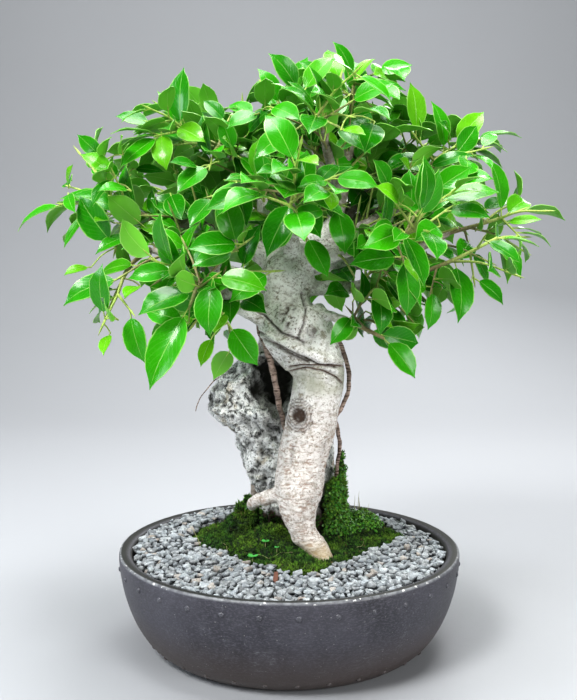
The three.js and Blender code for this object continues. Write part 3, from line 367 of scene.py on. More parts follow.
# The rule of the leaves that the solids hold: room along a shoot, tries for each leaf, width as a share of
# length, where a leaf's tip stands in the solid, and where the bud past a shoot's end does
LEAF_STEP = 24
ATTEMPTS = 7
LEAF_WIDTH = 0.46
TIP_LIFT, TIP_GAP = 0.4, 0.06
BUD_REACH, BUD_GAP = 2.5, 0.95


def colour(name, description, *value):
    """A colour property with this default."""
    return FloatVectorProperty(
        name=name, description=description, subtype="COLOR", size=3, min=0, max=1, default=value
    )


def number(name, description, value, **limits):
    """A number property with this default, whole if the default is."""
    kind = IntProperty if isinstance(value, int) else FloatProperty
    return kind(name=name, description=description, default=value, **limits)


def length(name, description, value):
    """A length property with this default in millimetres."""
    return number(name, description, value * MM, unit="LENGTH", min=0)


class PotSettings(bpy.types.PropertyGroup):
    """Sizes and colours of the pot."""

    segments: number("Segments", "Flat faces round the pot", 160, min=32)
    rivets: number("Rivets", "Rivets in each of the two rings", 32, min=0)
    rivet_radius: length("Rivet radius", "Half the width of a rivet", 2.5)
    rivet_height: length("Rivet height", "How far a rivet stands out of the wall", 1.5)
    clay: colour("Clay", "Main colour of the fired clay", 0.020, 0.0195, 0.026)
    dusty_clay: colour("Dusty clay", "Paler clay in clouds over the wall", 0.052, 0.051, 0.064)
    # The worn clay colour serves the rubbed scratches and also the painted highlight along the rim and on
    # the rivets.
    worn_clay_and_highlight: colour("Worn clay", "Clay rubbed pale along the rim", 0.24, 0.25, 0.26)
    clay_speck: colour("Clay speck", "Small pale specks in the wall", 0.3, 0.29, 0.28)
    # The nick colour is near white: partly real nicks in the rim, partly painted glints.
    clay_nick_and_glint: colour("Clay nick", "Nicks along the rim", 0.75, 0.75, 0.73)
    inner_clay: colour("Inner clay", "Dark band inside the rim", 0.024, 0.025, 0.022)
    base_clay: colour("Base clay", "Browner clay near the foot", 0.072, 0.053, 0.044)


class GroundSettings(bpy.types.PropertyGroup):
    """Sizes and colours of the soil, gravel and moss."""

    stone_spacing: length("Stone spacing", "Distance between neighbouring stones", 4.75)
    stone_size: length("Stone size", "Width of a middling stone", 5.1)
    pale_stone: colour("Pale stone", "Lightest gravel", 0.49, 0.535, 0.565)
    dark_stone: colour("Dark stone", "Darkest gravel", 0.118, 0.137, 0.155)
    tan_stone: colour("Tan stone", "The few warm stones", 0.50, 0.415, 0.34)
    stone_dust: colour("Stone dust", "Pale dust on the stones", 0.78, 0.81, 0.82)
    chip: colour("Chip", "The bark chip on the gravel", 0.17, 0.075, 0.05)
    soil: colour("Soil", "Damp potting soil", 0.022, 0.014, 0.009)
    screen: colour("Screen", "Plastic of the drain screen", 0.008, 0.008, 0.008)
    worn_screen: colour("Worn screen", "Plastic rubbed pale", 0.03, 0.03, 0.028)
    moss_grain: length("Moss grain", "Size of the finest moss facets", 2.1)
    tufts: number("Tufts", "Moss tufts on the mound", 16000, min=0)
    leaflets: number("Leaflets", "Round leaves of the creeper", 5400, min=0)
    tuft_height: length("Tuft height", "Height of a middling tuft", 3.0)
    # The deepest moss colour is the darker lower moss, painted near black as the shade among the tufts.
    moss_root_and_shade: colour("Moss root", "Moss deep between its tufts", 0.002, 0.012, 0.001)
    moss_tip: colour("Moss tip", "Moss at the tips", 0.115, 0.37, 0.028)
    moss_bright: colour("Bright moss", "Young patches of moss", 0.36, 0.66, 0.06)
    moss_dry: colour("Dry moss", "Dead tips among the moss", 0.22, 0.15, 0.06)
    creeper: colour("Creeper", "Round leaves of the creeper", 0.075, 0.34, 0.025)
    creeper_shade: colour("Creeper shade", "Old leaves of the creeper", 0.006, 0.055, 0.005)
    sprout: colour("Sprout", "Round leaves of the seedlings", 0.11, 0.55, 0.11)
    grass: colour("Grass", "Dry blades of grass", 0.44, 0.42, 0.20)


class WoodSettings(bpy.types.PropertyGroup):
    """Sizes and colours of the rock, the trunk and the roots."""

    rock_grain: length("Rock grain", "Size of the finest rock facets", 1.3)
    rock: colour("Rock", "Pale weathered stone", 0.90, 0.90, 0.86)
    rock_shade: colour("Rock shade", "Stone in the hollows", 0.036, 0.036, 0.028)
    rock_rust: colour("Rock rust", "Warm stains on the stone", 0.66, 0.56, 0.40)
    rock_algae: colour("Rock algae", "Green stains on the stone", 0.42, 0.58, 0.42)
    rock_crust: colour("Rock crust", "White crust on the stone", 0.95, 0.96, 0.94)
    darkest_foot: colour("Wet foot", "Darkest stone at the moss", 0.012, 0.008, 0.004)
    dry_foot: colour("Dry foot", "Brown stone at the moss", 0.11, 0.06, 0.035)
    bark_grain: length("Bark grain", "Size of the finest bark facets", 1.45)
    bark: colour("Bark", "Pale cream bark", 0.81, 0.785, 0.76)
    bark_shade: colour("Bark shade", "Bark in cracks and hollows", 0.072, 0.042, 0.028)
    bark_flake: colour("Bark flake", "Palest flakes of the bark", 0.91, 0.905, 0.88)
    bark_gap: colour("Bark gap", "Skin between the flakes", 0.27, 0.24, 0.165)
    bark_spot: colour("Bark spot", "Small dark spots", 0.16, 0.13, 0.09)
    bark_fold: colour("Bark fold", "Wrinkles low on the trunk", 0.27, 0.175, 0.125)
    bark_blush: colour("Bark blush", "Warm tinge low on the trunk", 0.82, 0.66, 0.56)
    bark_olive: colour("Olive bark", "Green tinge halfway up", 0.40, 0.40, 0.30)
    root_tip: colour("Root tip", "Young skin where the root meets the moss", 0.56, 0.42, 0.17)
    twig_flake: colour("Twig flake", "Pale flakes on the branches", 0.52, 0.46, 0.38)
    twig: colour("Twig", "Bark of the thin branches", 0.21, 0.16, 0.115)
    hanging_root: colour("Hanging root", "Skin of the thin roots", 0.24, 0.18, 0.15)


class LeafSettings(bpy.types.PropertyGroup):
    """Sizes and colours of the foliage."""

    thickness: length("Thickness", "Thickness of a blade", 0.5)
    stalk: number("Stalk", "Share of a leaf that is stalk", 0.16, min=0, max=0.5)
    spacing: length("Spacing", "Distance between added leaves along a shoot", 9.0)
    clearance: length("Clearance", "Room between an added leaf and its neighbours", 4.2)
    deep: colour("Deep green", "Old blades", 0.010, 0.175, 0.001)
    fresh: colour("Fresh green", "Middling blades", 0.038, 0.335, 0.002)
    young: colour("Young green", "Newest blades", 0.15, 0.46, 0.008)
    # The lower faces' colour is their own paler green, lightened further as painted light that stands in for
    # light shining through the blade.
    underside_and_backlight: colour("Underside", "Pale lower face of the blades", 0.19, 0.52, 0.055)
    midrib: colour("Midrib", "Midrib and margin", 0.36, 0.62, 0.16)
    shoot: colour("Shoot", "Green shoots, stalks and buds", 0.42, 0.58, 0.12)
    stem: colour("Stem", "Older stems", 0.26, 0.22, 0.10)


class StageSettings(bpy.types.PropertyGroup):
    """Floor, lights and camera."""

    floor: colour("Floor", "Plain pale floor", 0.33, 0.34, 0.355)
    focal_length: number("Focal length", "Camera lens in millimetres", 45.83, min=1)
    tilt: number("Tilt", "How far the camera looks down", 0.079, subtype="ANGLE")
    eye_height: length("Eye height", "Height of the camera", 324.4)
    distance: length("Distance", "Camera's distance in front of the pot's centre", EYE_DISTANCE)


def rgba(value):
    """A grey or a colour, with its opacity."""
    return (value,) * 3 + (1,) if isinstance(value, (int, float)) else (*value[:3], 1)


def toned(tint, share):
    """A colour made darker or paler by this share."""
    return tuple(min(1, share * c) for c in tint)


class Finish:
    """A procedural material, with short ways to add its nodes."""

    def __init__(self, name, **shader):
        self.material = bpy.data.materials.new(name)
        self.material.use_nodes = True
        self.tree = self.material.node_tree
        self.shader = self.tree.nodes["Principled BSDF"]
        for socket, value in shader.items():
            self.surface(socket.replace("_", " "), value)

    def feed(self, socket, value):
        """Links a socket to another one, or gives it a fixed value."""
        if isinstance(value, bpy.types.NodeSocket):
            self.tree.links.new(value, socket)
        else:
            socket.default_value = rgba(value) if socket.type == "RGBA" else value

    def surface(self, socket, value):
        self.feed(self.shader.inputs[socket], value)

    def add(self, kind, inputs=None, **settings):
        """A node of this kind with its settings and inputs."""
        node = self.tree.nodes.new(kind)
        for key, value in settings.items():
            setattr(node, key, value)
        for key, value in (inputs or {}).items():
            self.feed(node.inputs[key], value)
        return node

    def place(self, stretch=(1, 1, 1), turn=(0, 0, 0)):
        """Coordinates fixed to the object, stretched and turned."""
        coords = self.add("ShaderNodeTexCoord").outputs["Object"]
        inputs = {"Vector": coords, "Scale": stretch, "Rotation": turn}
        return self.add("ShaderNodeMapping", inputs).outputs[0]

    def noise(self, scale, detail=4, roughness=0.55, distortion=0, vector=None):
        inputs = {"Vector": vector or self.place(), "Scale": scale, "Detail": detail}
        inputs |= {"Roughness": roughness, "Distortion": distortion}
        return self.add("ShaderNodeTexNoise", inputs).outputs["Fac"]

    def drawn_out(self, stretch, detail, turn=(0, 0, 0), **settings):
        """Noise with its own scale along each of the three axes."""
        return self.noise(1, detail, vector=self.place(stretch, turn), **settings)

    def cells(self, scale):
        return self.add("ShaderNodeTexVoronoi", {"Vector": self.place(), "Scale": scale}).outputs["Distance"]

    def ramp(self, factor, *stops):
        """Greys along a factor."""
        node = self.add("ShaderNodeValToRGB", {"Fac": factor})
        elements = node.color_ramp.elements
        while len(elements) < len(stops):
            elements.new(1)
        for element, (at, value) in zip(elements, stops):
            element.position, element.color = at, rgba(value)
        return node.outputs["Color"]

    def layered(self, base, *coats):
        """Colours laid over a base one after another, each where its factor is high."""
        for coat in coats:
            node = self.add("ShaderNodeMix", data_type="RGBA")
            for index, value in zip((0, 6, 7), (coat[0], base, coat[1])):
                self.feed(node.inputs[index], value)
            base = node.outputs[2]
        return base

    def coated(self, base, *coats):
        """Gives the surface its base colour and the coats over it."""
        self.surface("Base Color", self.layered(base, *coats))

    def maths(self, operation, first, second=0):
        return self.add("ShaderNodeMath", {0: first, 1: second}, operation=operation).outputs[0]

    def times(self, first, second):
        return self.maths("MULTIPLY", first, second)

    def plus(self, first, second):
        return self.maths("ADD", first, second)

    def minus(self, first, second):
        return self.maths("SUBTRACT", first, second)

    def fade(self, value, low, high):
        """0 at the low value, 1 at the high one, smooth between."""
        inputs = {"Value": value, "From Min": low, "From Max": high}
        return self.add("ShaderNodeMapRange", inputs, interpolation_type="SMOOTHSTEP").outputs[0]

    def axes(self, vector):
        return self.add("ShaderNodeSeparateXYZ", {0: vector}).outputs

    def painted(self, name):
        """The three channels of the piece's own painted attribute."""
        channels = self.add("ShaderNodeAttribute", attribute_name=name).outputs["Color"]
        return self.add("ShaderNodeSeparateColor", {0: channels}).outputs

    def relief(self, height, depth, strength=1):
        """Bumps of this depth in millimetres."""
        node = self.add("ShaderNodeBump", {"Height": height, "Distance": depth * MM, "Strength": strength})
        self.surface("Normal", node.outputs[0])


def fired_clay(pot):
    clay = Finish("fired_clay", IOR=1.5)
    rivet, edge, inside = clay.painted("zone")
    clouds = clay.noise(16, 6)
    grit = clay.noise(900, 3)
    wheel_marks = clay.drawn_out((9, 9, 330), 5)
    streaks = clay.drawn_out((38, 38, 420), 3, turn=(0.25, 0.18, 0))
    scratches = clay.ramp(streaks, (0.487, 0), (0.5, 1), (0.513, 0))
    rubs = clay.ramp(clay.noise(60, 6, 0.7), (0.5, 0), (0.72, 1))
    dust = clay.ramp(clay.drawn_out((420, 420, 900), 4, roughness=0.7), (0.48, 0), (0.62, 0.7))
    specks = clay.ramp(clay.cells(330), (0, 1), (0.11, 1), (0.17, 0))
    rare = clay.ramp(clay.noise(210, 2), (0.55, 0), (0.62, 1))
    chips = clay.ramp(clay.noise(150, 5), (0.36, 0.3), (0.6, 1))
    nicks = clay.ramp(clay.noise(230, 3), (0.63, 0), (0.66, 1))
    low = clay.fade(clay.axes(clay.place())[2], 0.056, 0.004)
    clay.coated(
        pot.clay,
        (clay.ramp(clouds, (0.36, 0), (0.66, 1)), pot.dusty_clay),
        (clay.times(rubs, 0.55), pot.dusty_clay),
        (dust, toned(pot.dusty_clay, 1.7)),
        (clay.times(low, 0.8), pot.base_clay),
        (clay.times(scratches, clay.times(rubs, 0.75)), pot.worn_clay_and_highlight),
        (clay.times(clay.times(specks, rare), 0.6), pot.clay_speck),
        (inside, pot.inner_clay),
        # The pale line along the rim's outer edge, with its near-white nicks, is partly wear and partly
        # painted highlight.
        (clay.times(edge, chips), pot.worn_clay_and_highlight),
        (clay.times(edge, nicks), pot.clay_nick_and_glint),
        # The rivets are tinted paler: a painted highlight.
        (clay.times(rivet, 0.12), pot.worn_clay_and_highlight),
    )
    gloss = clay.plus(clay.times(clouds, 0.6), clay.times(grit, 0.4))
    matt = clay.minus(clay.times(inside, 0.28), clay.times(rivet, 0.2))
    clay.surface("Roughness", clay.plus(clay.ramp(gloss, (0.3, 0.36), (0.7, 0.56)), matt))
    relief = clay.plus(clay.times(wheel_marks, 0.55), clay.times(grit, 0.3))
    clay.relief(clay.plus(relief, clay.times(specks, 0.25)), 0.35, 0.7)
    return clay.material


def potting_soil(ground):
    soil = Finish("potting_soil", Roughness=0.95)
    crumbs, lumps = soil.cells(260), soil.noise(90, 6)
    soil.coated(toned(ground.soil, 0.45), (soil.ramp(lumps, (0.3, 0), (0.7, 1)), ground.soil))
    soil.relief(soil.plus(crumbs, lumps), 2)
    return soil.material


def screen_plastic(ground):
    screen = Finish("screen_plastic", Roughness=0.5)
    x, y, _ = screen.axes(screen.place((500, 500, 1)))
    threads = screen.maths("MAXIMUM", screen.maths("PINGPONG", x, 0.5), screen.maths("PINGPONG", y, 0.5))
    worn = screen.noise(400)
    screen.coated(ground.screen, (worn, ground.worn_screen))
    screen.relief(screen.plus(threads, screen.times(worn, 0.3)), 0.6)
    return screen.material


def crushed_rock(ground):
    stone = Finish("crushed_rock", Roughness=0.85)
    shade, warmth, chip = stone.painted("tint")
    flecks = stone.noise(900, 4, 0.7)
    stone.coated(
        ground.dark_stone,
        (shade, ground.pale_stone),
        (warmth, ground.tan_stone),
        (stone.ramp(flecks, (0.35, 0.55), (0.55, 0)), ground.dark_stone),
        (stone.ramp(stone.noise(300, 3), (0.52, 0), (0.68, 0.5)), ground.stone_dust),
        (chip, ground.chip),
        (stone.times(stone.painted("shadow")[0], 0.93), toned(ground.dark_stone, 0.12)),
    )
    stone.relief(flecks, 0.35)
    return stone.material


def gravel_bed(ground):
    bed = Finish("gravel_bed", Roughness=1.0)
    # The bed is painted near black, as painted shade deep in the gaps between the stones, with patches of
    # soil.
    bed.coated(toned(ground.dark_stone, 0.12), (bed.noise(300, 5), ground.soil))
    bed.relief(bed.cells(300), 1.5)
    return bed.material


def living_moss(ground):
    moss = Finish("living_moss", Roughness=0.85)
    growth_and_shade, youth, dry = moss.painted("growth_and_shade")
    patches = moss.ramp(moss.noise(38, 5, 0.65), (0.44, 0), (0.62, 1))
    clumps = moss.noise(230, 4, 0.75)
    fine = moss.noise(520, 3)
    tip = moss.layered(
        ground.moss_tip,
        (moss.times(patches, 0.6), ground.moss_bright),
        # Where the clumps part, the tips are darkened to near black: painted shade between the clumps.
        (moss.ramp(clumps, (0.42, 0.92), (0.55, 0)), ground.moss_root_and_shade),
        (youth, ground.moss_bright),
    )
    high = moss.times(growth_and_shade, moss.ramp(fine, (0.25, 0.55), (0.6, 1)))
    # Low on each tuft and in the mound's dips the moss is near black: the darker lower moss, with painted
    # shade between the tufts.
    moss.coated(ground.moss_root_and_shade, (high, tip), (dry, ground.moss_dry))
    moss.relief(fine, 0.8)
    return moss.material


def tender_green(name, tint):
    green = Finish(name, Roughness=0.5)
    streaks = green.noise(500)
    green.coated(toned(tint, 0.6), (streaks, tint))
    green.relief(streaks, 0.3)
    return green.material


def creeper_green(ground):
    leaf = Finish("creeper_green", Roughness=0.42)
    shade, youth, _ = leaf.painted("growth_and_shade")
    mottle = leaf.noise(400, 3)
    leaf.coated(
        ground.creeper_shade,
        (shade, ground.creeper),
        (leaf.times(youth, 0.5), ground.moss_bright),
        (leaf.ramp(mottle, (0.35, 0.5), (0.6, 0)), ground.creeper_shade),
    )
    leaf.relief(mottle, 0.3)
    return leaf.material


def weathered_rock(wood):
    rock = Finish("weathered_rock", Roughness=0.95)
    hollow_shade, foot_darkening, _ = rock.painted("hollow_shade")
    clouds = rock.noise(30, 8, 0.62)
    crust = rock.noise(140, 8, 0.74)
    speckle = rock.noise(560, 5, 0.7)
    pits = rock.ramp(rock.noise(120, 8, 0.82, 0.8), (0.40, 1), (0.465, 0))
    turned_noise = rock.noise(42, 5, vector=rock.place(turn=(1, 0, 0)))
    rock.coated(
        toned(wood.rock, 0.6),
        (rock.ramp(clouds, (0.36, 0), (0.54, 1)), wood.rock),
        (rock.ramp(rock.noise(45, 5), (0.54, 0), (0.66, 0.7)), wood.rock_rust),
        (rock.ramp(turned_noise, (0.57, 0), (0.68, 0.5)), wood.rock_algae),
        (rock.ramp(crust, (0.43, 0), (0.54, 0.92)), wood.rock_crust),
        (rock.ramp(speckle, (0.38, 0.8), (0.47, 0)), wood.rock_shade),
        (rock.times(pits, 0.92), wood.rock_shade),
        # Painted shade: near black in the cave behind the trunk, under the brow and down in the dips of the
        # stone.
        (hollow_shade, rock.layered(toned(wood.rock_shade, 0.15), (crust, toned(wood.rock_shade, 1.6)))),
        # The stone turns near black towards its foot at the moss, brown where the crust is.
        (foot_darkening, rock.layered(wood.darkest_foot, (crust, wood.dry_foot))),
    )
    height = rock.minus(rock.plus(crust, clouds), rock.times(pits, 0.8))
    rock.relief(rock.plus(height, rock.times(speckle, 0.3)), 2.4)
    return rock.material


def pale_bark(wood):
    bark = Finish("pale_bark", Roughness=0.86)
    crack_and_shade, low, twig = bark.painted("bark")
    blotches = bark.noise(34, 6, 0.6, vector=bark.place((1, 1, 0.7)))
    flakes = bark.drawn_out((150, 150, 210), 7, roughness=0.76)
    flecks = bark.drawn_out((430, 430, 470), 5, roughness=0.68)
    wrinkles = bark.drawn_out((150, 150, 420), 6, roughness=0.72, distortion=0.7)
    grain = bark.drawn_out((300, 300, 120), 5, roughness=0.65)
    chosen = bark.ramp(bark.noise(60, 5), (0.4, 0.45), (0.6, 1))
    spots = bark.times(bark.ramp(flecks, (0.38, 0.95), (0.47, 0)), chosen)
    folds = bark.times(bark.ramp(wrinkles, (0.41, 1), (0.485, 0)), low)
    height = bark.axes(bark.place())[2]
    tip = bark.fade(height, 0.105, 0.088)
    band = bark.times(bark.fade(height, 0.220, 0.236), bark.fade(height, 0.260, 0.244))
    twig_skin = bark.layered(
        toned(wood.twig, 0.5),
        (bark.ramp(grain, (0.35, 0), (0.65, 1)), wood.twig),
        (bark.ramp(flakes, (0.5, 0), (0.66, 0.8)), wood.twig_flake),
    )
    bark.coated(
        toned(wood.bark, 0.7),
        (bark.ramp(blotches, (0.36, 0), (0.52, 1)), wood.bark),
        (bark.ramp(flakes, (0.48, 0), (0.58, 0.9)), wood.bark_flake),
        (bark.ramp(flakes, (0.38, 0.8), (0.46, 0)), wood.bark_gap),
        (spots, wood.bark_spot),
        (bark.times(folds, 0.85), wood.bark_fold),
        (bark.times(low, 0.2), wood.bark_blush),
        (bark.times(tip, 0.5), wood.root_tip),
        (bark.times(band, bark.ramp(blotches, (0.40, 0.15), (0.56, 0.8))), wood.bark_olive),
        (bark.times(twig, bark.ramp(blotches, (0.3, 1), (0.75, 0.6))), twig_skin),
        # Cracks painted dark, partly their own colour, and painted shade in the dips and grooves of the
        # bark.
        (crack_and_shade, wood.bark_shade),
    )
    bumps = bark.plus(bark.times(flakes, 0.7), bark.times(flecks, 0.3))
    bark.relief(bark.plus(bumps, bark.times(wrinkles, bark.plus(low, 0.25))), 1.2)
    return bark.material


def root_skin(wood):
    skin = Finish("root_skin", Roughness=0.9)
    dark = skin.painted("bark")[2]
    rings = skin.drawn_out((130, 130, 620), 5, roughness=0.6)
    patches = skin.noise(140, 5)
    skin.coated(
        wood.hanging_root,
        (skin.ramp(patches, (0.4, 0), (0.7, 0.75)), toned(wood.hanging_root, 2.8)),
        (skin.ramp(rings, (0.42, 0.95), (0.5, 0)), wood.bark_shade),
        # The roots lying along the front of the trunk are darker, partly their own skin and partly painted
        # shade of the grooves they lie in.
        (dark, toned(wood.bark_shade, 0.7)),
    )
    skin.relief(skin.plus(rings, skin.times(patches, 0.4)), 1.8)
    return skin.material


def glossy_blade(leaf):
    blade = Finish("glossy_blade", IOR=1.3, Coat_Weight=0.16, Coat_Roughness=0.08)
    tone, youth, under = blade.painted("tone")
    along, across_blade, _ = blade.axes(blade.add("ShaderNodeUVMap", uv_map="blade").outputs[0])
    off_middle = blade.times(blade.maths("ABSOLUTE", blade.minus(across_blade, 0.5)), 2)
    rib = blade.minus(1, blade.fade(off_middle, 0.01, 0.05))
    margin = blade.fade(off_middle, 0.9, 0.98)
    slant = blade.minus(blade.times(along, 13), blade.times(off_middle, 3.4))
    veins = blade.minus(1, blade.fade(blade.maths("PINGPONG", slant, 0.5), 0, 0.16))
    mottle = blade.noise(90)
    blade.coated(
        leaf.deep,
        (tone, leaf.fresh),
        (youth, leaf.young),
        (blade.ramp(mottle, (0.3, 0.22), (0.7, 0)), toned(leaf.deep, 0.5)),
        (blade.times(veins, 0.05), leaf.midrib),
        # Lower faces painted paler: partly their own colour, partly painted light for light shining through
        # the blade.
        (blade.times(under, 0.8), leaf.underside_and_backlight),
        (blade.times(rib, 0.45), leaf.midrib),
        (blade.times(margin, 0.6), leaf.midrib),
    )
    gloss = blade.ramp(mottle, (0.3, 0.19), (0.7, 0.32))
    blade.surface("Roughness", blade.plus(blade.times(under, 0.2), gloss))
    height = blade.plus(blade.times(veins, -0.1), blade.times(mottle, 0.8))
    blade.relief(blade.plus(height, blade.times(rib, -0.6)), 0.35, 0.8)
    return blade.material


def green_shoot(leaf):
    shoot = Finish("green_shoot", Roughness=0.55)
    age = shoot.painted("tone")[0]
    streaks = shoot.drawn_out((500, 500, 200), 4)
    shoot.coated(
        leaf.shoot,
        (age, leaf.stem),
        (shoot.ramp(streaks, (0.35, 0.45), (0.6, 0)), toned(leaf.stem, 0.5)),
    )
    shoot.relief(streaks, 0.4)
    return shoot.material


def studio_floor(stage):
    floor = Finish("studio_floor", Roughness=0.7)
    floor.coated(stage.floor, (floor.noise(3, 3), toned(stage.floor, 0.97)))
    return floor.material


def mix(low, high, share):
    return low + (high - low) * share


def fade(value, low, high):
    """0 at the low value, 1 at the high one, smooth between, for arrays too."""
    share = np.clip((value - low) / (high - low), 0, 1)
    return share * share * (3 - 2 * share)


def random_numbers(seed):
    """The same repeatable numbers from 0 to 1 that the solid leaves were grown with."""
    state = seed & WORD

    def draw():
        nonlocal state
        state = (state + 0x6D2B79F5) & WORD
        mixed = ((state ^ (state >> 15)) * (state | 1)) & WORD
        mixed ^= (mixed + (mixed ^ (mixed >> 7)) * (mixed | 61)) & WORD
        return ((mixed ^ (mixed >> 14)) & WORD) / 4294967296

    return draw


def smooth_rows(rows, step):
    """Rows of a smooth curve through the given rows, about step millimetres apart."""
    rows = np.array(rows, float)
    ends = np.vstack([2 * rows[0] - rows[1], rows, 2 * rows[-1] - rows[-2]])
    line = []
    for a, b, c, d in zip(ends, ends[1:], ends[2:], ends[3:]):
        count = max(1, round(np.linalg.norm((c - b)[:3]) / step))
        for t in np.arange(count) / count:
            squared, cubed = (2 * a - 5 * b + 4 * c - d) * t**2, (3 * b - a - 3 * c + d) * t**3
            line.append(0.5 * (2 * b + (c - a) * t + squared + cubed))
    return np.array([*line, rows[-1]])


def tapered(path, radius, step=4):
    """Smooth rows of x, y, z and radius along a path whose radius runs from the first value to the last."""
    radii = np.linspace(*radius, len(path))
    return smooth_rows([(*point, r) for point, r in zip(path, radii)], step)


def select_only(*objects):
    """Selects these objects alone, the first of them active."""
    bpy.ops.object.select_all(action="DESELECT")
    for piece in objects:
        piece.select_set(True)
    bpy.context.view_layer.objects.active = objects[0]


def join(*objects):
    select_only(*objects)
    if len(objects) > 1:
        bpy.ops.object.join()
    return objects[0]


def settle(piece):
    """Bakes a piece's place, turn and size into its mesh."""
    select_only(piece)
    bpy.ops.object.transform_apply(location=True, rotation=True, scale=True)
    return piece


def shaped(piece, kind, **settings):
    """Adds a modifier to a piece and applies it."""
    select_only(piece)
    bpy.ops.object.modifier_add(type=kind)
    modifier = piece.modifiers[-1]
    for key, value in settings.items():
        setattr(modifier, key, value)
    bpy.ops.object.modifier_apply(modifier=modifier.name)
    return piece


def edit_all():
    """Goes into edit mode with everything selected."""
    bpy.ops.object.mode_set(mode="EDIT")
    bpy.ops.mesh.select_all(action="SELECT")


def leave_edit():
    bpy.ops.object.mode_set(mode="OBJECT")


def merge_doubles(gap):
    """Merges the active mesh's points that lie closer than this."""
    edit_all()
    bpy.ops.mesh.remove_doubles(threshold=gap)
    leave_edit()


def placed(name, data):
    """A new object with this data, in the scene."""
    piece = bpy.data.objects.new(name, data)
    bpy.context.scene.collection.objects.link(piece)
    return piece


def solid_copy(node, name):
    """A copy of a solid part's mesh, with its loose triangles merged."""
    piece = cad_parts[node].copy()
    piece.data = piece.data.copy()
    piece.name = name
    piece.parent = None
    bpy.context.scene.collection.objects.link(piece)
    piece.hide_render = piece.hide_viewport = False
    for key in list(piece.keys()):
        if key.startswith("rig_"):
            del piece[key]
    select_only(piece)
    merge_doubles(0.01 * MM)
    return piece


def rows_of(piece, what):
    """What a mesh says of each of its points, one row each."""
    rows = np.empty(len(piece.data.vertices) * 3, np.float32)
    piece.data.vertices.foreach_get(what, rows)
    return rows.reshape(-1, 3).astype(float)


def points_of(piece):
    """A mesh's points in millimetres."""
    return rows_of(piece, "co") / MM


def normals_of(piece):
    return rows_of(piece, "normal")


def unit(vector):
    return vector / np.linalg.norm(vector)


def moved_on(faces, count):
    """Faces whose points come after this many others."""
    return [tuple(k + count for k in face) for face in faces]


def move_points(piece, points):
    piece.data.vertices.foreach_set("co", (points * MM).astype(np.float32).ravel())
    piece.data.update()


def sampled(function, points, scale):
    """A noise function's value at each point, in units of scale millimetres."""
    return np.array([function(Vector(p)) for p in points / np.array(scale, float)])


def cell_distance(point):
    """How far a point is from the nearest heart of an uneven pattern."""
    return field.voronoi(point)[0][0]


def hump(value, middle, width):
    """1 at the middle value, falling away smoothly on both sides."""
    return np.exp(-(((value - middle) / width) ** 2))


def paint(piece, name, *channels):
    """Stores up to three values from 0 to 1 for each point as an attribute."""
    count = len(piece.data.vertices)
    values = np.ones((count, 4), np.float32)
    for i in range(3):
        values[:, i] = np.clip(channels[i], 0, 1) if i < len(channels) else 0
    layers = piece.data.color_attributes
    layer = layers.get(name) or layers.new(name, "FLOAT_COLOR", "POINT")
    layer.data.foreach_set("color", values.ravel())


def mesh_piece(name, points, faces):
    """A mesh object from points in millimetres."""
    mesh = bpy.data.meshes.new(name)
    mesh.from_pydata((np.asarray(points, float) * MM).tolist(), [], faces)
    return placed(name, mesh)


def finished(piece, name, slot, nodes, *materials):
    """Names a piece, gives it its materials, and ties it to the frame."""
    piece.name = piece.data.name = name
    if materials:
        piece.data.materials.clear()
        for material in materials:
            piece.data.materials.append(material)
    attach(piece, "root")
    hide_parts(*nodes)
    return piece


def smooth_shade(piece, degrees):
    select_only(piece)
    bpy.ops.object.shade_smooth_by_angle(angle=math.radians(degrees))


def turned(profile, segments):
    """A closed turned shape, drawn up from its first ring by extruding and scaling."""
    radius, height = profile[0]
    bpy.ops.mesh.primitive_circle_add(vertices=segments, radius=radius * MM, location=(0, 0, height * MM))
    piece = settle(bpy.context.active_object)
    edit_all()
    for next_radius, next_height in profile[1:]:
        bpy.ops.mesh.extrude_region()
        wider = next_radius / radius
        bpy.ops.transform.resize(value=(wider, wider, 1), center_override=(0, 0, 0))
        bpy.ops.transform.translate(value=(0, 0, (next_height - height) * MM))
        radius, height = next_radius, next_height
    bpy.ops.mesh.select_all(action="DESELECT")
    bpy.ops.mesh.select_non_manifold(extend=False)
    bpy.ops.mesh.bridge_edge_loops()
    bpy.ops.mesh.select_all(action="SELECT")
    bpy.ops.mesh.normals_make_consistent(inside=False)
    leave_edit()
    return piece


def strands(name, lines, resolution):
    """Round tubes through lists of x, y, z and radius rows, as one mesh with closed ends."""
    curve = bpy.data.curves.new(name, "CURVE")
    curve.dimensions = "3D"
    curve.bevel_depth = MM
    curve.bevel_resolution = resolution
    curve.use_fill_caps = True
    for rows in lines:
        spline = curve.splines.new("POLY")
        spline.points.add(len(rows) - 1)
        for point, (x, y, z, radius) in zip(spline.points, rows):
            point.co = (x * MM, y * MM, z * MM, 1)
            point.radius = radius
    select_only(placed(name, curve))
    bpy.ops.object.convert(target="MESH")
    piece = bpy.context.active_object
    merge_doubles(0.01 * MM)
    return piece


def wall_radius(height):
    return float(np.interp(height, [z for _, z in POT_OUTSIDE], [r for r, _ in POT_OUTSIDE]))


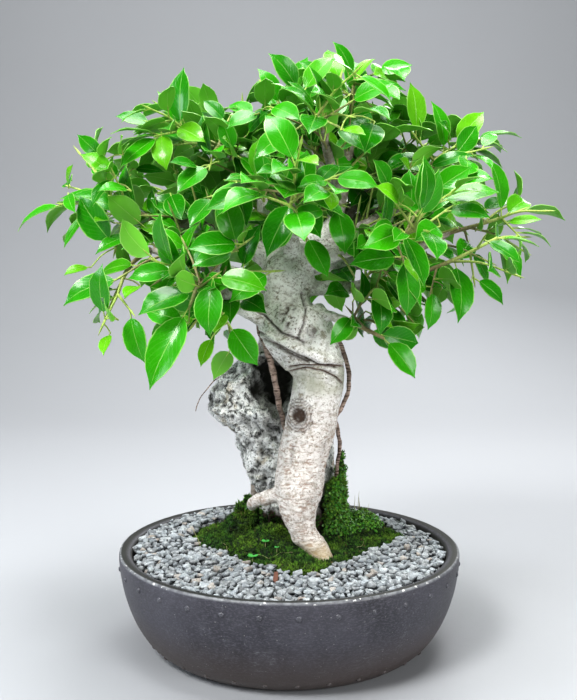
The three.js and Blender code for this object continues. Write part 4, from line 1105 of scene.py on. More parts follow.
def rivet_ring(settings, height):
    """Domed rivets round the pot wall, one modelled and the rest copied."""
    slope = math.atan2(wall_radius(height + 3) - wall_radius(height - 3), 6)
    bpy.ops.mesh.primitive_uv_sphere_add(segments=14, ring_count=8, radius=1)
    model = bpy.context.active_object
    model.scale = (settings.rivet_radius, settings.rivet_radius, settings.rivet_height * 1.15)
    settle(model)
    lean = Matrix.Rotation(math.pi / 2 + slope, 4, "Y")
    rivets = []
    for i in range(settings.rivets):
        turn = Matrix.Rotation(math.radians(RIVET_TURN - 90 + i * 360 / settings.rivets), 4, "Z")
        rivet = model.copy()
        rivet.data = model.data.copy()
        bpy.context.scene.collection.objects.link(rivet)
        out = Matrix.Translation(((wall_radius(height) - 0.25) * MM, 0, height * MM))
        rivet.matrix_world = turn @ out @ lean
        rivets.append(rivet)
    bpy.data.objects.remove(model)
    return settle(join(*rivets))


class BANYAN_OT_pot(bpy.types.Operator):
    """Turns the pot, with a pale line along its rim, partly wear and partly painted highlight, and two rings
    of rivets tinted with a painted highlight
    """

    bl_idname = "banyan.pot"
    bl_label = "Pot"

    def execute(self, context):
        settings = context.scene.banyan_pot
        wall = [tuple(row) for row in smooth_rows([(r, z, 0) for r, z in POT_OUTSIDE], 4)[:, :2]]
        body = turned(wall + POT_RIM + POT_INSIDE, settings.segments)
        points = points_of(body)
        radius, height = np.hypot(points[:, 0], points[:, 1]), points[:, 2]
        # The rim's outer edge is marked for its pale line, partly wear and partly painted highlight.
        edge = (1 - fade(abs(radius - 151.6), 0.3, 1.2)) * fade(height, 83, 84)
        inside = np.maximum((radius < 151) * (height > 84), (radius < 143) * (height > 45))
        paint(body, "zone", 0, edge, inside)
        rivets = [rivet_ring(settings, height) for height in RIVET_HEIGHTS]
        # Each rivet is marked for its paler tint, a painted highlight.
        for ring in rivets:
            paint(ring, "zone", 1, 0, 0)
        pot = join(body, *rivets)
        smooth_shade(pot, 40)
        finished(pot, "pot_finish", "pot", ["pot"], fired_clay(settings))
        return {"FINISHED"}


class BANYAN_OT_bedding(bpy.types.Operator):
    """Gives the soil and the drain screen their finishes"""

    bl_idname = "banyan.bedding"
    bl_label = "Soil and screen"

    def execute(self, context):
        settings = context.scene.banyan_ground
        finishes = {"soil": potting_soil(settings), "drain_screen": screen_plastic(settings)}
        for node, material in finishes.items():
            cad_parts[node].data.materials.clear()
            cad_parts[node].data.materials.append(material)
        return {"FINISHED"}


def crushed_stone(draw):
    """Points and triangles of an angular stone one unit wide: a cube with its corners cut away."""
    bpy.ops.mesh.primitive_cube_add(size=1)
    stone = bpy.context.active_object
    bpy.ops.object.mode_set(mode="EDIT")
    for _ in range(7):
        normal = jitter(draw).normalized()
        bpy.ops.mesh.select_all(action="SELECT")
        spot = normal * mix(0.34, 0.5, draw())
        bpy.ops.mesh.bisect(plane_co=spot, plane_no=normal, use_fill=True, clear_outer=True)
    bpy.ops.mesh.select_all(action="SELECT")
    bpy.ops.mesh.remove_doubles(threshold=0.03)
    bpy.ops.mesh.quads_convert_to_tris()
    leave_edit()
    points = np.array([v.co for v in stone.data.vertices])
    faces = [tuple(p.vertices) for p in stone.data.polygons]
    bpy.data.objects.remove(stone)
    return points, faces


def moss_edge():
    """Angles and radii of the moss patch's edge, in order."""
    loop = [MOSS_OUTLINE[-1], *MOSS_OUTLINE, *MOSS_OUTLINE[:2]]
    edge = smooth_rows([(x, y, 0) for x, y in loop], 3)
    angles = np.arctan2(edge[:, 1], edge[:, 0])
    order = np.argsort(angles)
    return angles[order], np.hypot(edge[:, 0], edge[:, 1])[order]


def stone_places(spacing, low, high, draw, edge):
    """Places of stones on a jittered grid between the moss and the pot wall."""
    places = []
    rows = int(2 * GRID_REACH / (spacing * ROW_GAP)) + 1
    for i in range(rows):
        for j in range(int(2 * GRID_REACH / spacing) + 1):
            x = -GRID_REACH + (j + 0.5 * (i % 2)) * spacing + (draw() - 0.5) * spacing * JITTER
            y = -GRID_REACH + i * spacing * ROW_GAP + (draw() - 0.5) * spacing * JITTER
            inner = np.interp(math.atan2(y, x), *edge, period=2 * math.pi) - 1
            reach = math.hypot(x, y)
            if inner < reach < BED_REACH:
                heap = 3 * (BED_REACH - reach) / (BED_REACH - inner)
                heap = heap + 2 * fade(y, 10, 100) + 3 * fade(y - x, 60, 130)
                places.append((x, y, mix(low, high, draw()) + heap))
    return places


class BANYAN_OT_gravel(bpy.types.Operator):
    """Fills the pot round the moss with angular stones"""

    bl_idname = "banyan.gravel"
    bl_label = "Gravel"

    def execute(self, context):
        settings = context.scene.banyan_ground
        draw = random_numbers(21)
        models = [crushed_stone(draw) for _ in range(9)]
        edge = moss_edge()
        spacing = settings.stone_spacing / MM
        places = []
        for wider, low, high in STONE_LAYERS:
            places += stone_places(spacing * wider, low, high, draw, edge)
        points, faces, tints, shadows, count = [], [], [], [], 0
        for x, y, z in places:
            shape, sides = models[int(draw() * len(models))]
            size = settings.stone_size / MM * mix(0.72, 1.42, draw() ** 1.6)
            turn = Matrix.Rotation(draw() * 6.3, 3, "Z") @ Matrix.Rotation((draw() - 0.5) * 1.4, 3, "X")
            stretch = np.array([mix(0.9, 1.4, draw()), mix(0.75, 1.05, draw()), mix(0.55, 0.85, draw())])
            spread = (shape * stretch * size) @ np.array(turn).T
            points.append(spread + (x, y, z))
            shadows.append(fade(0.24 - spread[:, 2] / size, 0, 0.4))
            faces += moved_on(sides, count)
            tint = (mix(0.1, 1, draw() ** 0.7), 0.6 * (draw() < 0.045) + 0.16 * draw(), 0)
            tints.append(np.tile(tint, (len(shape), 1)))
            count += len(shape)
        lying = np.array(Matrix.Rotation(-0.25, 3, "Z") @ Matrix.Rotation(0.9, 3, "X")).T
        points.append((models[2][0] * CHIP_SIZE) @ lying + CHIP_PLACE)
        shadows.append(np.zeros(len(models[2][0])))
        faces += moved_on(models[2][1], count)
        tints.append(np.tile((1, 0, 1), (len(models[2][0]), 1)))
        stones = mesh_piece("gravel_stones", np.vstack(points), faces)
        paint(stones, "tint", *np.vstack(tints).T)
        paint(stones, "shadow", np.concatenate(shadows))
        stones.data.materials.append(crushed_rock(settings))
        bed = solid_copy("gravel", "gravel_bed")
        under = points_of(bed)
        under[:, 2] = np.minimum(under[:, 2], BED_TOP)
        move_points(bed, under)
        finished(bed, "gravel_bed", "gravel", ["gravel"], gravel_bed(settings))
        finished(stones, "gravel_stones", "gravel", ["gravel"])
        return {"FINISHED"}


def moss_mound(settings):
    """The mound of moss with its lumps, as a fine closed skin."""
    mound = solid_copy("moss", "moss_mound")
    shaped(mound, "REMESH", mode="VOXEL", voxel_size=settings.moss_grain)
    shaped(mound, "SMOOTH", factor=0.6, iterations=6)
    points, normals = points_of(mound), normals_of(mound)
    lumps = sampled(field.noise, points, 13)
    crumbs = sampled(field.noise, points + 50, 4.6)
    climb = fade(points[:, 2], 96, 112)
    bulges = sampled(field.noise, points + 20, 8)
    top = fade(points[:, 2], 72, 76)
    move = (1.6 * lumps + 1.5 * crumbs + 0.2 + climb * (3.4 * bulges - 2.4)) * top
    pillow = np.exp(-(((points[:, 0] + 19) / 21) ** 2) - ((points[:, 1] + 21) / 15) ** 2)
    points[:, 2] += 15 * pillow * top * (1 - climb)
    move_points(mound, points + normals * move[:, None])
    # The mound is painted darker in its dips and lighter on its lumps: painted shade.
    paint(mound, "growth_and_shade", 0.1 + 0.3 * (lumps + crumbs), 0)
    return mound


def scattered(piece, count, weigh, dice):
    """Random feet on a piece's skin, and the way out of it at each."""
    mesh = piece.data
    mesh.calc_loop_triangles()
    corners = points_of(piece)[np.array([t.vertices[:] for t in mesh.loop_triangles])]
    normal = np.cross(corners[:, 1] - corners[:, 0], corners[:, 2] - corners[:, 0])
    area = np.linalg.norm(normal, axis=1)
    normal /= area[:, None] + 1e-9
    weight = area * weigh(corners.mean(axis=1), normal)
    chosen = dice.choice(len(area), count, p=weight / weight.sum())
    share = dice.dirichlet((1, 1, 1), count)
    return (corners[chosen] * share[:, :, None]).sum(axis=1), normal[chosen]


def hidden_from(*nodes):
    """Tells whether a point in millimetres lies in or right at one of these solid nodes."""
    trees = []
    for mesh in (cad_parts[node].data for node in nodes):
        corners = [p.vertices[:] for p in mesh.polygons]
        trees.append(BVHTree.FromPolygons([v.co for v in mesh.vertices], corners))

    def covered(point):
        spot = Vector(point) * MM
        for tree in trees:
            near, out, _, gap = tree.find_nearest(spot)
            if gap < 0.8 * MM or (spot - near).dot(out) < 0:
                return True
        return False

    return covered


def moss_tufts(settings, mound, rock):
    """Short pointed blades, three to a tuft, all over the mound and the foot of the rock."""
    dice = np.random.default_rng(8)
    covered = hidden_from("rock", "trunk")

    def on_mound(centre, normal):
        return (normal[:, 2] > -0.35) * (centre[:, 2] > 77)

    def at_foot(centre, _):
        return (centre[:, 2] > 80) * (1 - fade(centre[:, 2], 104, 116))

    feet, normals = scattered(mound, settings.tufts, on_mound, dice)
    places = [(foot, up) for foot, up in zip(feet, normals) if not covered(foot + up * 2)]
    places += zip(*scattered(rock, settings.tufts // 9, at_foot, dice))
    blades, growth_and_shade = [], []
    for foot, up in places:
        climb = fade(foot[2], 98, 110)
        clump = field.noise(Vector(foot / 3.6))
        tall = 0.6 + 0.7 * dice.random() ** 2 + 0.5 * clump
        height = settings.tuft_height / MM * tall * (1 + 0.4 * climb)
        near = fade(70 - math.hypot(foot[0] - 14, foot[1] + 76), 30, 62)
        youth = max(0, field.noise(Vector(foot / 17)) * 1.2 + 0.75 * near + 0.3 * climb)
        dry = 0.6 * (dice.random() < 0.02)
        for _ in range(3):
            lean = unit(up + np.array([0, 0, 0.35]) + dice.normal(0, 0.42, 3))
            side = unit(np.cross(lean, dice.normal(0, 1, 3)))
            other = np.cross(lean, side)
            base = foot + dice.normal(0, 0.45, 3) - up * 0.5
            wide = (0.5 + 0.35 * dice.random()) * (1 + 0.4 * climb)
            for angle in (0, 2.1, 4.2):
                blades.append(base + wide * (math.cos(angle) * side + math.sin(angle) * other))
            blades.append(base + lean * height)
            # Each blade is dark at its foot and bright at its tip: the darker lower moss, with painted shade
            # low among the tufts.
            growth_and_shade += [(0, youth, dry)] * 3 + [(0.55 + 0.9 * clump + 0.3 * dice.random(), youth, dry)]
    sides = ((0, 1, 3), (1, 2, 3), (2, 0, 3), (0, 2, 1))
    faces = [side for start in range(0, len(blades), 4) for side in moved_on(sides, start)]
    tufts = mesh_piece("moss_tufts", blades, faces)
    paint(tufts, "growth_and_shade", *np.array(growth_and_shade).T)
    return tufts


def creeper(settings, mound):
    """The small round leaves of a creeper on the hump and where the moss climbs the rock."""
    dice = np.random.default_rng(12)
    covered = hidden_from("rock", "trunk")

    def weigh(centre, normal):
        right = fade(centre[:, 0], 22, 40) * fade(centre[:, 2], 92, 99)
        left = 0.25 * fade(centre[:, 2], 108, 114)
        return np.maximum(right, left) * (normal[:, 2] > -0.5)

    feet, normals = scattered(mound, settings.leaflets, weigh, dice)
    points, growth_and_shade, faces = [], [], []
    rim = [(math.cos(a), math.sin(a)) for a in np.arange(6) * math.pi / 3]
    for foot, out in zip(feet, normals):
        if covered(foot + out * 3):
            continue
        face = unit(out + np.array([0, -0.25, 0.5]) + dice.normal(0, 0.45, 3))
        ahead = unit(np.cross(face, dice.normal(0, 1, 3)))
        side = np.cross(face, ahead)
        size = mix(0.6, 1.3, dice.random() ** 1.3)
        middle = foot + out * mix(0.4, 3, dice.random() ** 2)
        start = len(points)
        for a, b in rim:
            points.append(middle + size * (1.15 * a * ahead + b * side) + 0.22 * size * abs(b) * face)
        points += [middle + 0.18 * face, middle - 0.18 * face]
        faces += [(start + k, start + (k + 1) % 6, start + 6) for k in range(6)]
        faces += [(start + (k + 1) % 6, start + k, start + 7) for k in range(6)]
        growth_and_shade += [(mix(0.15, 1, dice.random()), dice.random() ** 2, 0)] * 8
    leaves = mesh_piece("creeper_leaves", points, faces)
    paint(leaves, "growth_and_shade", *np.array(growth_and_shade).T)
    return leaves


def seedlings(settings, mound):
    """Three seedlings with round leaves and a few dry blades of grass, rooted in the moss."""
    skin = BVHTree.FromObject(mound, bpy.context.evaluated_depsgraph_get())

    def ground(x, y):
        return skin.ray_cast(Vector((x, y, 150)) * MM, Vector((0, 0, -1)))[0].z / MM

    dice = np.random.default_rng(3)
    blades = []
    for x, y in GRASS:
        foot = np.array((x, y, ground(x, y) - 1))
        lean = np.array((dice.normal(0.1, 0.4), dice.normal(0, 0.25), 1))
        tall = 12 + 11 * dice.random()
        bow = np.array((dice.normal(0, 2.5), dice.normal(0, 2.5), -1.5))
        rows = [foot + lean * tall * t + bow * t * t for t in (0, 0.35, 0.7, 1)]
        blades.append([(*row, radius) for row, radius in zip(rows, (0.3, 0.28, 0.2, 0.08))])
    for path in STRAWS:
        rows = smooth_rows([(*p, 0) for p in path], 2.5)
        blades.append([(x, y, ground(x, y) + 1.4, 0.2) for x, y, _ in rows])
    for x, y, _ in SEEDLINGS:
        blades.append([(x, y, ground(x, y) - 1, 0.3), (x + 0.3, y - 0.3, ground(x, y) + 4.5, 0.25)])
    stalks = strands("stalks", blades, 1)
    leaves = []
    for x, y, size in SEEDLINGS:
        for turn in (0.4, 2.2, 3.6, 5.1):
            bpy.ops.mesh.primitive_uv_sphere_add(segments=10, ring_count=6, radius=MM)
            leaf = bpy.context.active_object
            leaf.scale = (size * 0.6, size * 0.5, 0.25)
            out = Matrix.Translation(Vector((x, y, ground(x, y) + 4.6)) * MM) @ Matrix.Rotation(turn, 4, "Z")
            tip = Matrix.Rotation(-0.35, 4, "Y") @ Matrix.Translation((size * 0.55 * MM, 0, 0))
            leaf.matrix_world = out @ tip @ Matrix.Diagonal((*leaf.scale, 1))
            leaves.append(settle(leaf))
    sprout = join(*leaves)
    sprout.data.materials.append(tender_green("sprout_green", settings.sprout))
    stalks.data.materials.append(tender_green("dry_grass", settings.grass))
    piece = join(sprout, stalks)
    smooth_shade(piece, 60)
    return piece


class BANYAN_OT_moss(bpy.types.Operator):
    """Grows the moss mound, its tufts, the creeper and the seedlings"""

    bl_idname = "banyan.moss"
    bl_label = "Moss"

    def execute(self, context):
        settings = context.scene.banyan_ground
        material = living_moss(settings)
        mound = moss_mound(settings)
        smooth_shade(mound, 60)
        tufts = moss_tufts(settings, mound, bpy.data.objects["rock_finish"])
        finished(mound, "moss_mound", "moss", ["moss"], material)
        finished(tufts, "moss_tufts", "moss", ["moss"], material)
        finished(creeper(settings, mound), "creeper_leaves", "moss", ["moss"], creeper_green(settings))
        finished(seedlings(settings, mound), "seedlings", "moss", ["moss"])
        return {"FINISHED"}


def press(points, centre, reach, push):
    """Moves the points near a centre, most at its middle."""
    away = np.linalg.norm((points - np.array(centre)) / np.array(reach), axis=1)
    share = 1 - fade(away, 0.25, 1)
    return points + share[:, None] * np.array(push, float), share


class BANYAN_OT_rock(bpy.types.Operator):
    """Weathers the rock that the roots grow over"""

    bl_idname = "banyan.rock"
    bl_label = "Rock"

    def execute(self, context):
        settings = context.scene.banyan_wood
        rock = solid_copy("rock", "rock")
        shaped(rock, "REMESH", mode="VOXEL", voxel_size=settings.rock_grain)
        shaped(rock, "SMOOTH", factor=0.5, iterations=14)
        points = points_of(rock)
        points, cave = press(points, (-12, 0, 231), (24, 34, 38), (0, 24, 0))
        points, brow = press(points, (-25, -8, 253), (17, 26, 19), (0, 12, 0))
        points, _ = press(points, (-22, -12, 203), (18, 22, 12), (0, -5, 2))
        points, _ = press(points, (-33, 0, 144), (15, 26, 20), (-5, -2, 0))
        move_points(rock, points)
        normals = normals_of(rock)
        crags = sampled(lambda p: field.ridged_multi_fractal(p, 1.0, 2.1, 4, 1.0, 2.0), points, 34)
        lumps = sampled(field.noise, points, 17)
        knobs = sampled(cell_distance, points, 9)
        crust = sampled(lambda p: field.turbulence(p, 4, False), points + 31, 6)
        holes = fade(0.3 - sampled(cell_distance, points + 90, 11), 0, 0.3)
        height = 2.4 * (crags - 1.1) + 3.0 * lumps - 3.0 * (knobs - 0.4) + 2.2 * (crust - 0.4) - 3.6 * holes
        above = fade(points[:, 2], 78, 95)
        height = height * above
        move_points(rock, points + normals * height[:, None])
        shaped(rock, "SMOOTH", factor=0.25, iterations=1)
        # The second channel darkens the stone towards its foot.
        foot = 1 - fade(points[:, 2] + 12 * sampled(field.noise, points, 8), 108, 122)
        # The first channel is painted shade, strongest in the cave and under the brow and deeper in every
        # dip of the stone.
        paint(rock, "hollow_shade", np.clip(1.15 * cave + 0.9 * brow + fade(-height, 0.6, 5) * 0.85, 0, 1), foot)
        smooth_shade(rock, 75)
        finished(rock, "rock_finish", "rock", ["rock"], weathered_rock(settings))
        return {"FINISHED"}


def woody_branch(name):
    """Rows of a branch whose last stretch narrows to the green stem that grows from it."""
    path, radius = BRANCHES[name]
    rows = tapered(path, radius)
    rows[-2:, 3] *= (0.85, 0.72)
    return rows


def off_line(points, line):
    """How far each point is, seen from in front, from a line of x and z."""
    flat = points[:, (0, 2)]
    least = np.full(len(flat), np.inf)
    for start, end in zip(line, line[1:]):
        along = np.subtract(end, start)
        share = np.clip((flat - start) @ along / (along @ along), 0, 1)
        least = np.minimum(least, np.linalg.norm(flat - start - share[:, None] * along, axis=1))
    return least


def from_middle(points, place):
    """How far points are from the middle of an oval mark, seen from in front, with 1 at its edge."""
    x, z, wide, high = place
    return np.hypot((points[:, 0] - x) / wide, (points[:, 2] - z) / high)


def scar_relief(points, normals):
    """How scars, cracks and ringing roots move the bark out or in, and how dark they are: painted shade in
    their grooves, pits and dimples, and the knot's own rings.
    """
    front = fade(-normals[:, 1], 0.05, 0.45) * (points[:, 1] < 0)
    oval = from_middle(points, OVAL_SCAR)
    inside = 1 - fade(oval, 0.7, 1)
    middle = 1 - fade(oval, 0.25, 0.75)
    pits = np.clip(sampled(field.noise, points, 3.0) - 0.02, 0, 1) * middle
    out = 1.8 * inside - 2.2 * pits
    # The pits in the middle of the scar are pushed in and painted dark: painted shade.
    dark = 0.12 * inside + 2.6 * pits
    for line in BARK_CRACKS:
        away = off_line(points, line)
        wobble = 0.35 * sampled(field.noise, points, 4)
        groove = hump(away, 0, 0.95 + wobble)
        out += 0.9 * hump(away, 2.6, 1.6) - 2.0 * groove
        # Each crack's groove is painted dark, partly the crack's own colour and partly painted shade.
        dark += 0.95 * groove
    for line in RING_ROOTS:
        away = off_line(points, line)
        out += 1.0 * hump(away, 3.4, 2.2) - 1.5 * hump(away, 0, 1.3)
        # The groove where a ring root lies is painted dark: painted shade.
        dark += 0.75 * hump(away, 0, 1.1)
    knot = from_middle(points, KNOT)
    lip = hump(knot, 1.05, 0.2)
    eye = 1 - fade(knot, 0.7, 1.0)
    rings = 0.5 + 0.5 * np.cos(knot * 17)
    out += 1.3 * lip - 1.4 * eye + 0.4 * rings * (knot < 1.6)
    dark += (1.05 + 0.5 * sampled(field.noise, points, 2.4)) * eye + 0.75 * rings * (knot < 1.9) * (1 - eye)
    bud = from_middle(points, BUD_SCAR)
    out += 2.4 * (1 - fade(bud, 0.2, 1.1)) - 1.2 * (1 - fade(bud, 0.1, 0.4))
    # The bud scar's dimpled middle is painted dark, partly its own colour and partly painted shade; the dark
    # line on its left rim alone is painted shade.
    dark += 0.75 * (1 - fade(bud, 0.3, 0.9)) + 0.6 * hump(bud, 1.1, 0.2) * (points[:, 0] < BUD_SCAR[0])
    return out * front, dark * front


class BANYAN_OT_trunk(bpy.types.Operator):
    """Grows the trunk, its woody roots and its branches as one skin of bark"""

    bl_idname = "banyan.trunk"
    bl_label = "Trunk and branches"

    def execute(self, context):
        settings = context.scene.banyan_wood
        thick = [smooth_rows(TRUNK_STATIONS, 3)] + [tapered(*root) for root in THICK_ROOTS]
        wood = strands("wood", thick + [woody_branch(name) for name in BRANCHES], 6)
        shaped(wood, "REMESH", mode="VOXEL", voxel_size=settings.bark_grain)
        shaped(wood, "SMOOTH", factor=0.5, iterations=6)
        points, normals = points_of(wood), normals_of(wood)
        x, y, z = points.T
        sides, depths, heights, _ = zip(*TRUNK_STATIONS)
        off_axis = np.hypot(x - np.interp(z, heights, sides), y - np.interp(z, heights, depths))
        twig = fade(off_axis + 0.5 * np.clip(z - 330, 0, 200), 34, 95)
        main = 1 - fade(off_axis, 30, 44)
        lumps = sampled(field.noise, points, (17, 17, 30))
        flutes = sampled(field.noise, points + 40, (7, 7, 26))
        bumps = sampled(field.noise, points + 80, 5)
        wrinkles = sampled(field.noise, points, (16, 16, 2.6))
        low = (1 - fade(z, 175, 250)) * (1 - twig)
        height = main * (1.5 * lumps + 0.9 * flutes) + 0.4 * bumps * (1 - 0.5 * twig) + 0.55 * low * wrinkles
        out, dark = scar_relief(points, normals)
        move_points(wood, points + normals * (height + out * main)[:, None])
        # Painted shade: the bark is darkened wherever its lumps and flutes dip in, on top of the painted
        # dark of the scars and cracks.
        crack_and_shade = fade(-(1.5 * lumps + 0.9 * flutes), 0.75, 1.5) * 0.4 * main + dark * main
        paint(wood, "bark", crack_and_shade, low, twig)
        smooth_shade(wood, 60)
        finished(wood, "trunk_bark", "bark", ["trunk"], pale_bark(settings))
        return {"FINISHED"}


class BANYAN_OT_roots(bpy.types.Operator):
    """Adds the thin roots that hang beside the trunk and wrap round it"""

    bl_idname = "banyan.roots"
    bl_label = "Thin roots"

    def execute(self, context):
        bark = bpy.data.objects["trunk_bark"]
        skin = BVHTree.FromObject(bark, context.evaluated_depsgraph_get())
        lines = []
        field.seed_set(BEND_SEED)
        for path, radius in HANGING_ROOTS:
            rows = tapered(path, radius, 2.5)
            wobble = np.array([field.noise_vector(Vector(p[:3] / 9)) for p in rows])
            rows[1:-1, :3] += 0.9 * wobble[1:-1]
            rows[:, 3] *= 1 + 0.22 * np.array([field.noise(Vector(p[:3] / 3.5)) for p in rows])
            lines.append(rows)
        for path in RING_ROOTS:
            rows = []
            for x, _, z in smooth_rows([(x, 0, z) for x, z in path], 2):
                hit = skin.ray_cast(Vector((x, -300, z)) * MM, Vector((0, 1, 0)))[0]
                if hit and hit.y < 0:
                    rows.append((x, hit.y / MM - 0.2, z, 0.55))
            rows[0] = (*rows[0][:3], 0.2)
            rows[-1] = (*rows[-1][:3], 0.2)
            lines.append(rows)
        roots = strands("thin_roots", lines, 3)
        # The roots that lie in the grooves on the trunk's front are painted darker: partly their own darker
        # skin, partly painted shade of the grooves.
        dark = fade(-points_of(roots)[:, 1], 34, 40) * 0.6
        paint(roots, "bark", 0, 0, dark)
        smooth_shade(roots, 60)
        finished(roots, "thin_roots", "bark", ["trunk"], root_skin(context.scene.banyan_wood))
        return {"FINISHED"}


def on_path(path, share):
    """Point at a share of the way along a bent path."""
    lengths = [(b - a).length for a, b in zip(path, path[1:])]
    rest = share * sum(lengths)
    for i, part in enumerate(lengths):
        if rest <= part:
            return path[i].lerp(path[i + 1], rest / part)
        rest -= part
    return path[-1].copy()


def stem_path(name):
    """From the woody end of its branch along the green stem."""
    before, end = (Vector(p) for p in BRANCHES[name][0][-2:])
    return [end + (end - before).normalized() * 0.35, *(Vector(p) for p in SPRAYS[name][0])]


def shoot_path(start, end):
    """From a place on the stem to the foot of the shoot's last leaf."""
    reach = (end - start).length
    if reach < 15:
        return [start]
    if reach < 34:
        return [start, end]
    return [start, start.lerp(end, 0.5) + UP * 0.07 * reach, end]


def jitter(draw):
    """A small random offset."""
    return Vector((draw() - 0.5, draw() - 0.5, draw() - 0.5))


def outwards(point):
    """The direction away from where the branches part."""
    return (point - CROWN_HEART).normalized()


def heading(path):
    return (path[-1] - path[0]).normalized()


def path_length(path):
    return sum((b - a).length for a, b in zip(path, path[1:]))


def across(ahead, angle):
    """A direction square to ahead, turned about it."""
    side = ahead.cross(UP if abs(ahead.z) < 0.8 else Vector((1, 0, 0))).normalized()
    return Matrix.Rotation(math.fmod(angle, 2 * math.pi), 3, ahead) @ side


def leaf_face(foot, draw):
    """Which way a leaf faces: up, and outwards from where the branches part."""
    wobble = jitter(draw) * 0.9
    return (UP * 0.6 + outwards(foot) * 1.2 + wobble).normalized()


def in_crown(point):
    """Whether a point is in the dome of the crown and, seen from in front, inside its uneven edge."""
    scale = EYE_DISTANCE / (EYE_DISTANCE + point.y)
    x, z = point.x * scale, EYE_HEIGHT + (point.z - EYE_HEIGHT) * scale
    inside = False
    for (x0, z0), (x1, z1) in zip([CROWN_EDGE[-1], *CROWN_EDGE], CROWN_EDGE):
        if (z0 > z) != (z1 > z) and x < x0 + (x1 - x0) * (z - z0) / (z1 - z0):
            inside = not inside
    return inside and sum(((p - c) / r) ** 2 for p, c, r in zip(point, CROWN_CENTRE, CROWN_REACH)) < 1


class Leaf:
    """A leaf from its foot on a shoot to its tip."""

    def __init__(self, foot, tip, face, width, arch, fold, youth=0.0, tone=None):
        self.foot, self.tip, self.width, self.arch, self.fold = foot, tip, width, arch, fold
        self.youth, self.tone = youth, tone
        self.curl = 0.055 + 0.045 * math.sin(foot.x * 3.1 + tip.z)
        self.length = (tip - foot).length
        self.ahead = (tip - foot) / self.length
        self.up = (face - self.ahead * face.dot(self.ahead)).normalized()
        self.side = self.up.cross(self.ahead)

    def show_its_face(self):
        """Rolls the leaf about its own length, to show more of itself to whoever looks from in front."""
        if self.foot.y > 60 or abs(self.foot.x) > 150 and abs(self.ahead.x) > 0.8:
            return
        face = Vector((self.foot.x / 400, -1, 0.45) if self.up.y < 0.75 else (self.foot.x / 400, 1, 0.3))
        flat = (face - self.ahead * face.dot(self.ahead)).normalized()
        self.up = self.up.lerp(flat, 0.75).normalized()
        self.side = self.up.cross(self.ahead)

    def frame_points(self):
        """A few points of the blade, to keep other leaves clear of it."""
        return [self.foot + self.ahead * (s * self.length) + self.side * (h * self.width)
                + self.up * (4 * self.arch * s * (1 - s) * self.length + self.fold * abs(h) * self.width)
                for s, h in BLADE_SPOTS]


def aimed_leaf(foot, tip, seed, attempt):
    """The leaf that this attempt of the solid's rule gives between a foot and a tip."""
    draw = random_numbers(seed * 16 + attempt)
    face = leaf_face(foot, draw)
    width = min((tip - foot).length * LEAF_WIDTH, 26) * mix(0.95, 1.15, draw()) * (1 - 0.04 * attempt)
    return Leaf(foot, tip, face, width, mix(0.02, 0.08, draw()), mix(0.1, 0.4, draw()))


def grown_leaf(foot, direction, seed, attempt, scale):
    """The leaf that this attempt of the solid's rule grows from a foot."""
    draw = random_numbers(seed * 16 + attempt)
    reach = mix(38, 52, draw()) * scale * (1 if attempt < 4 else 0.8)
    wander = Vector((draw() - 0.5, draw() - 0.5, draw() - 0.65)) * (0.5 + 0.25 * attempt)
    tip = foot + (direction + wander).normalized() * reach
    face = leaf_face(foot, draw)
    width = reach * LEAF_WIDTH * mix(0.9, 1.12, draw())
    return Leaf(foot, tip, face, width, mix(0.02, 0.1, draw()), mix(0.1, 0.45, draw()))


def from_the_eye(points):
    """Where points are seen against the plane of the trunk, and how far away."""
    scale = EYE_DISTANCE / (EYE_DISTANCE + points[:, 1])
    return np.column_stack([points[:, 0] * scale, (points[:, 2] - EYE_HEIGHT) * scale, points[:, 1]])


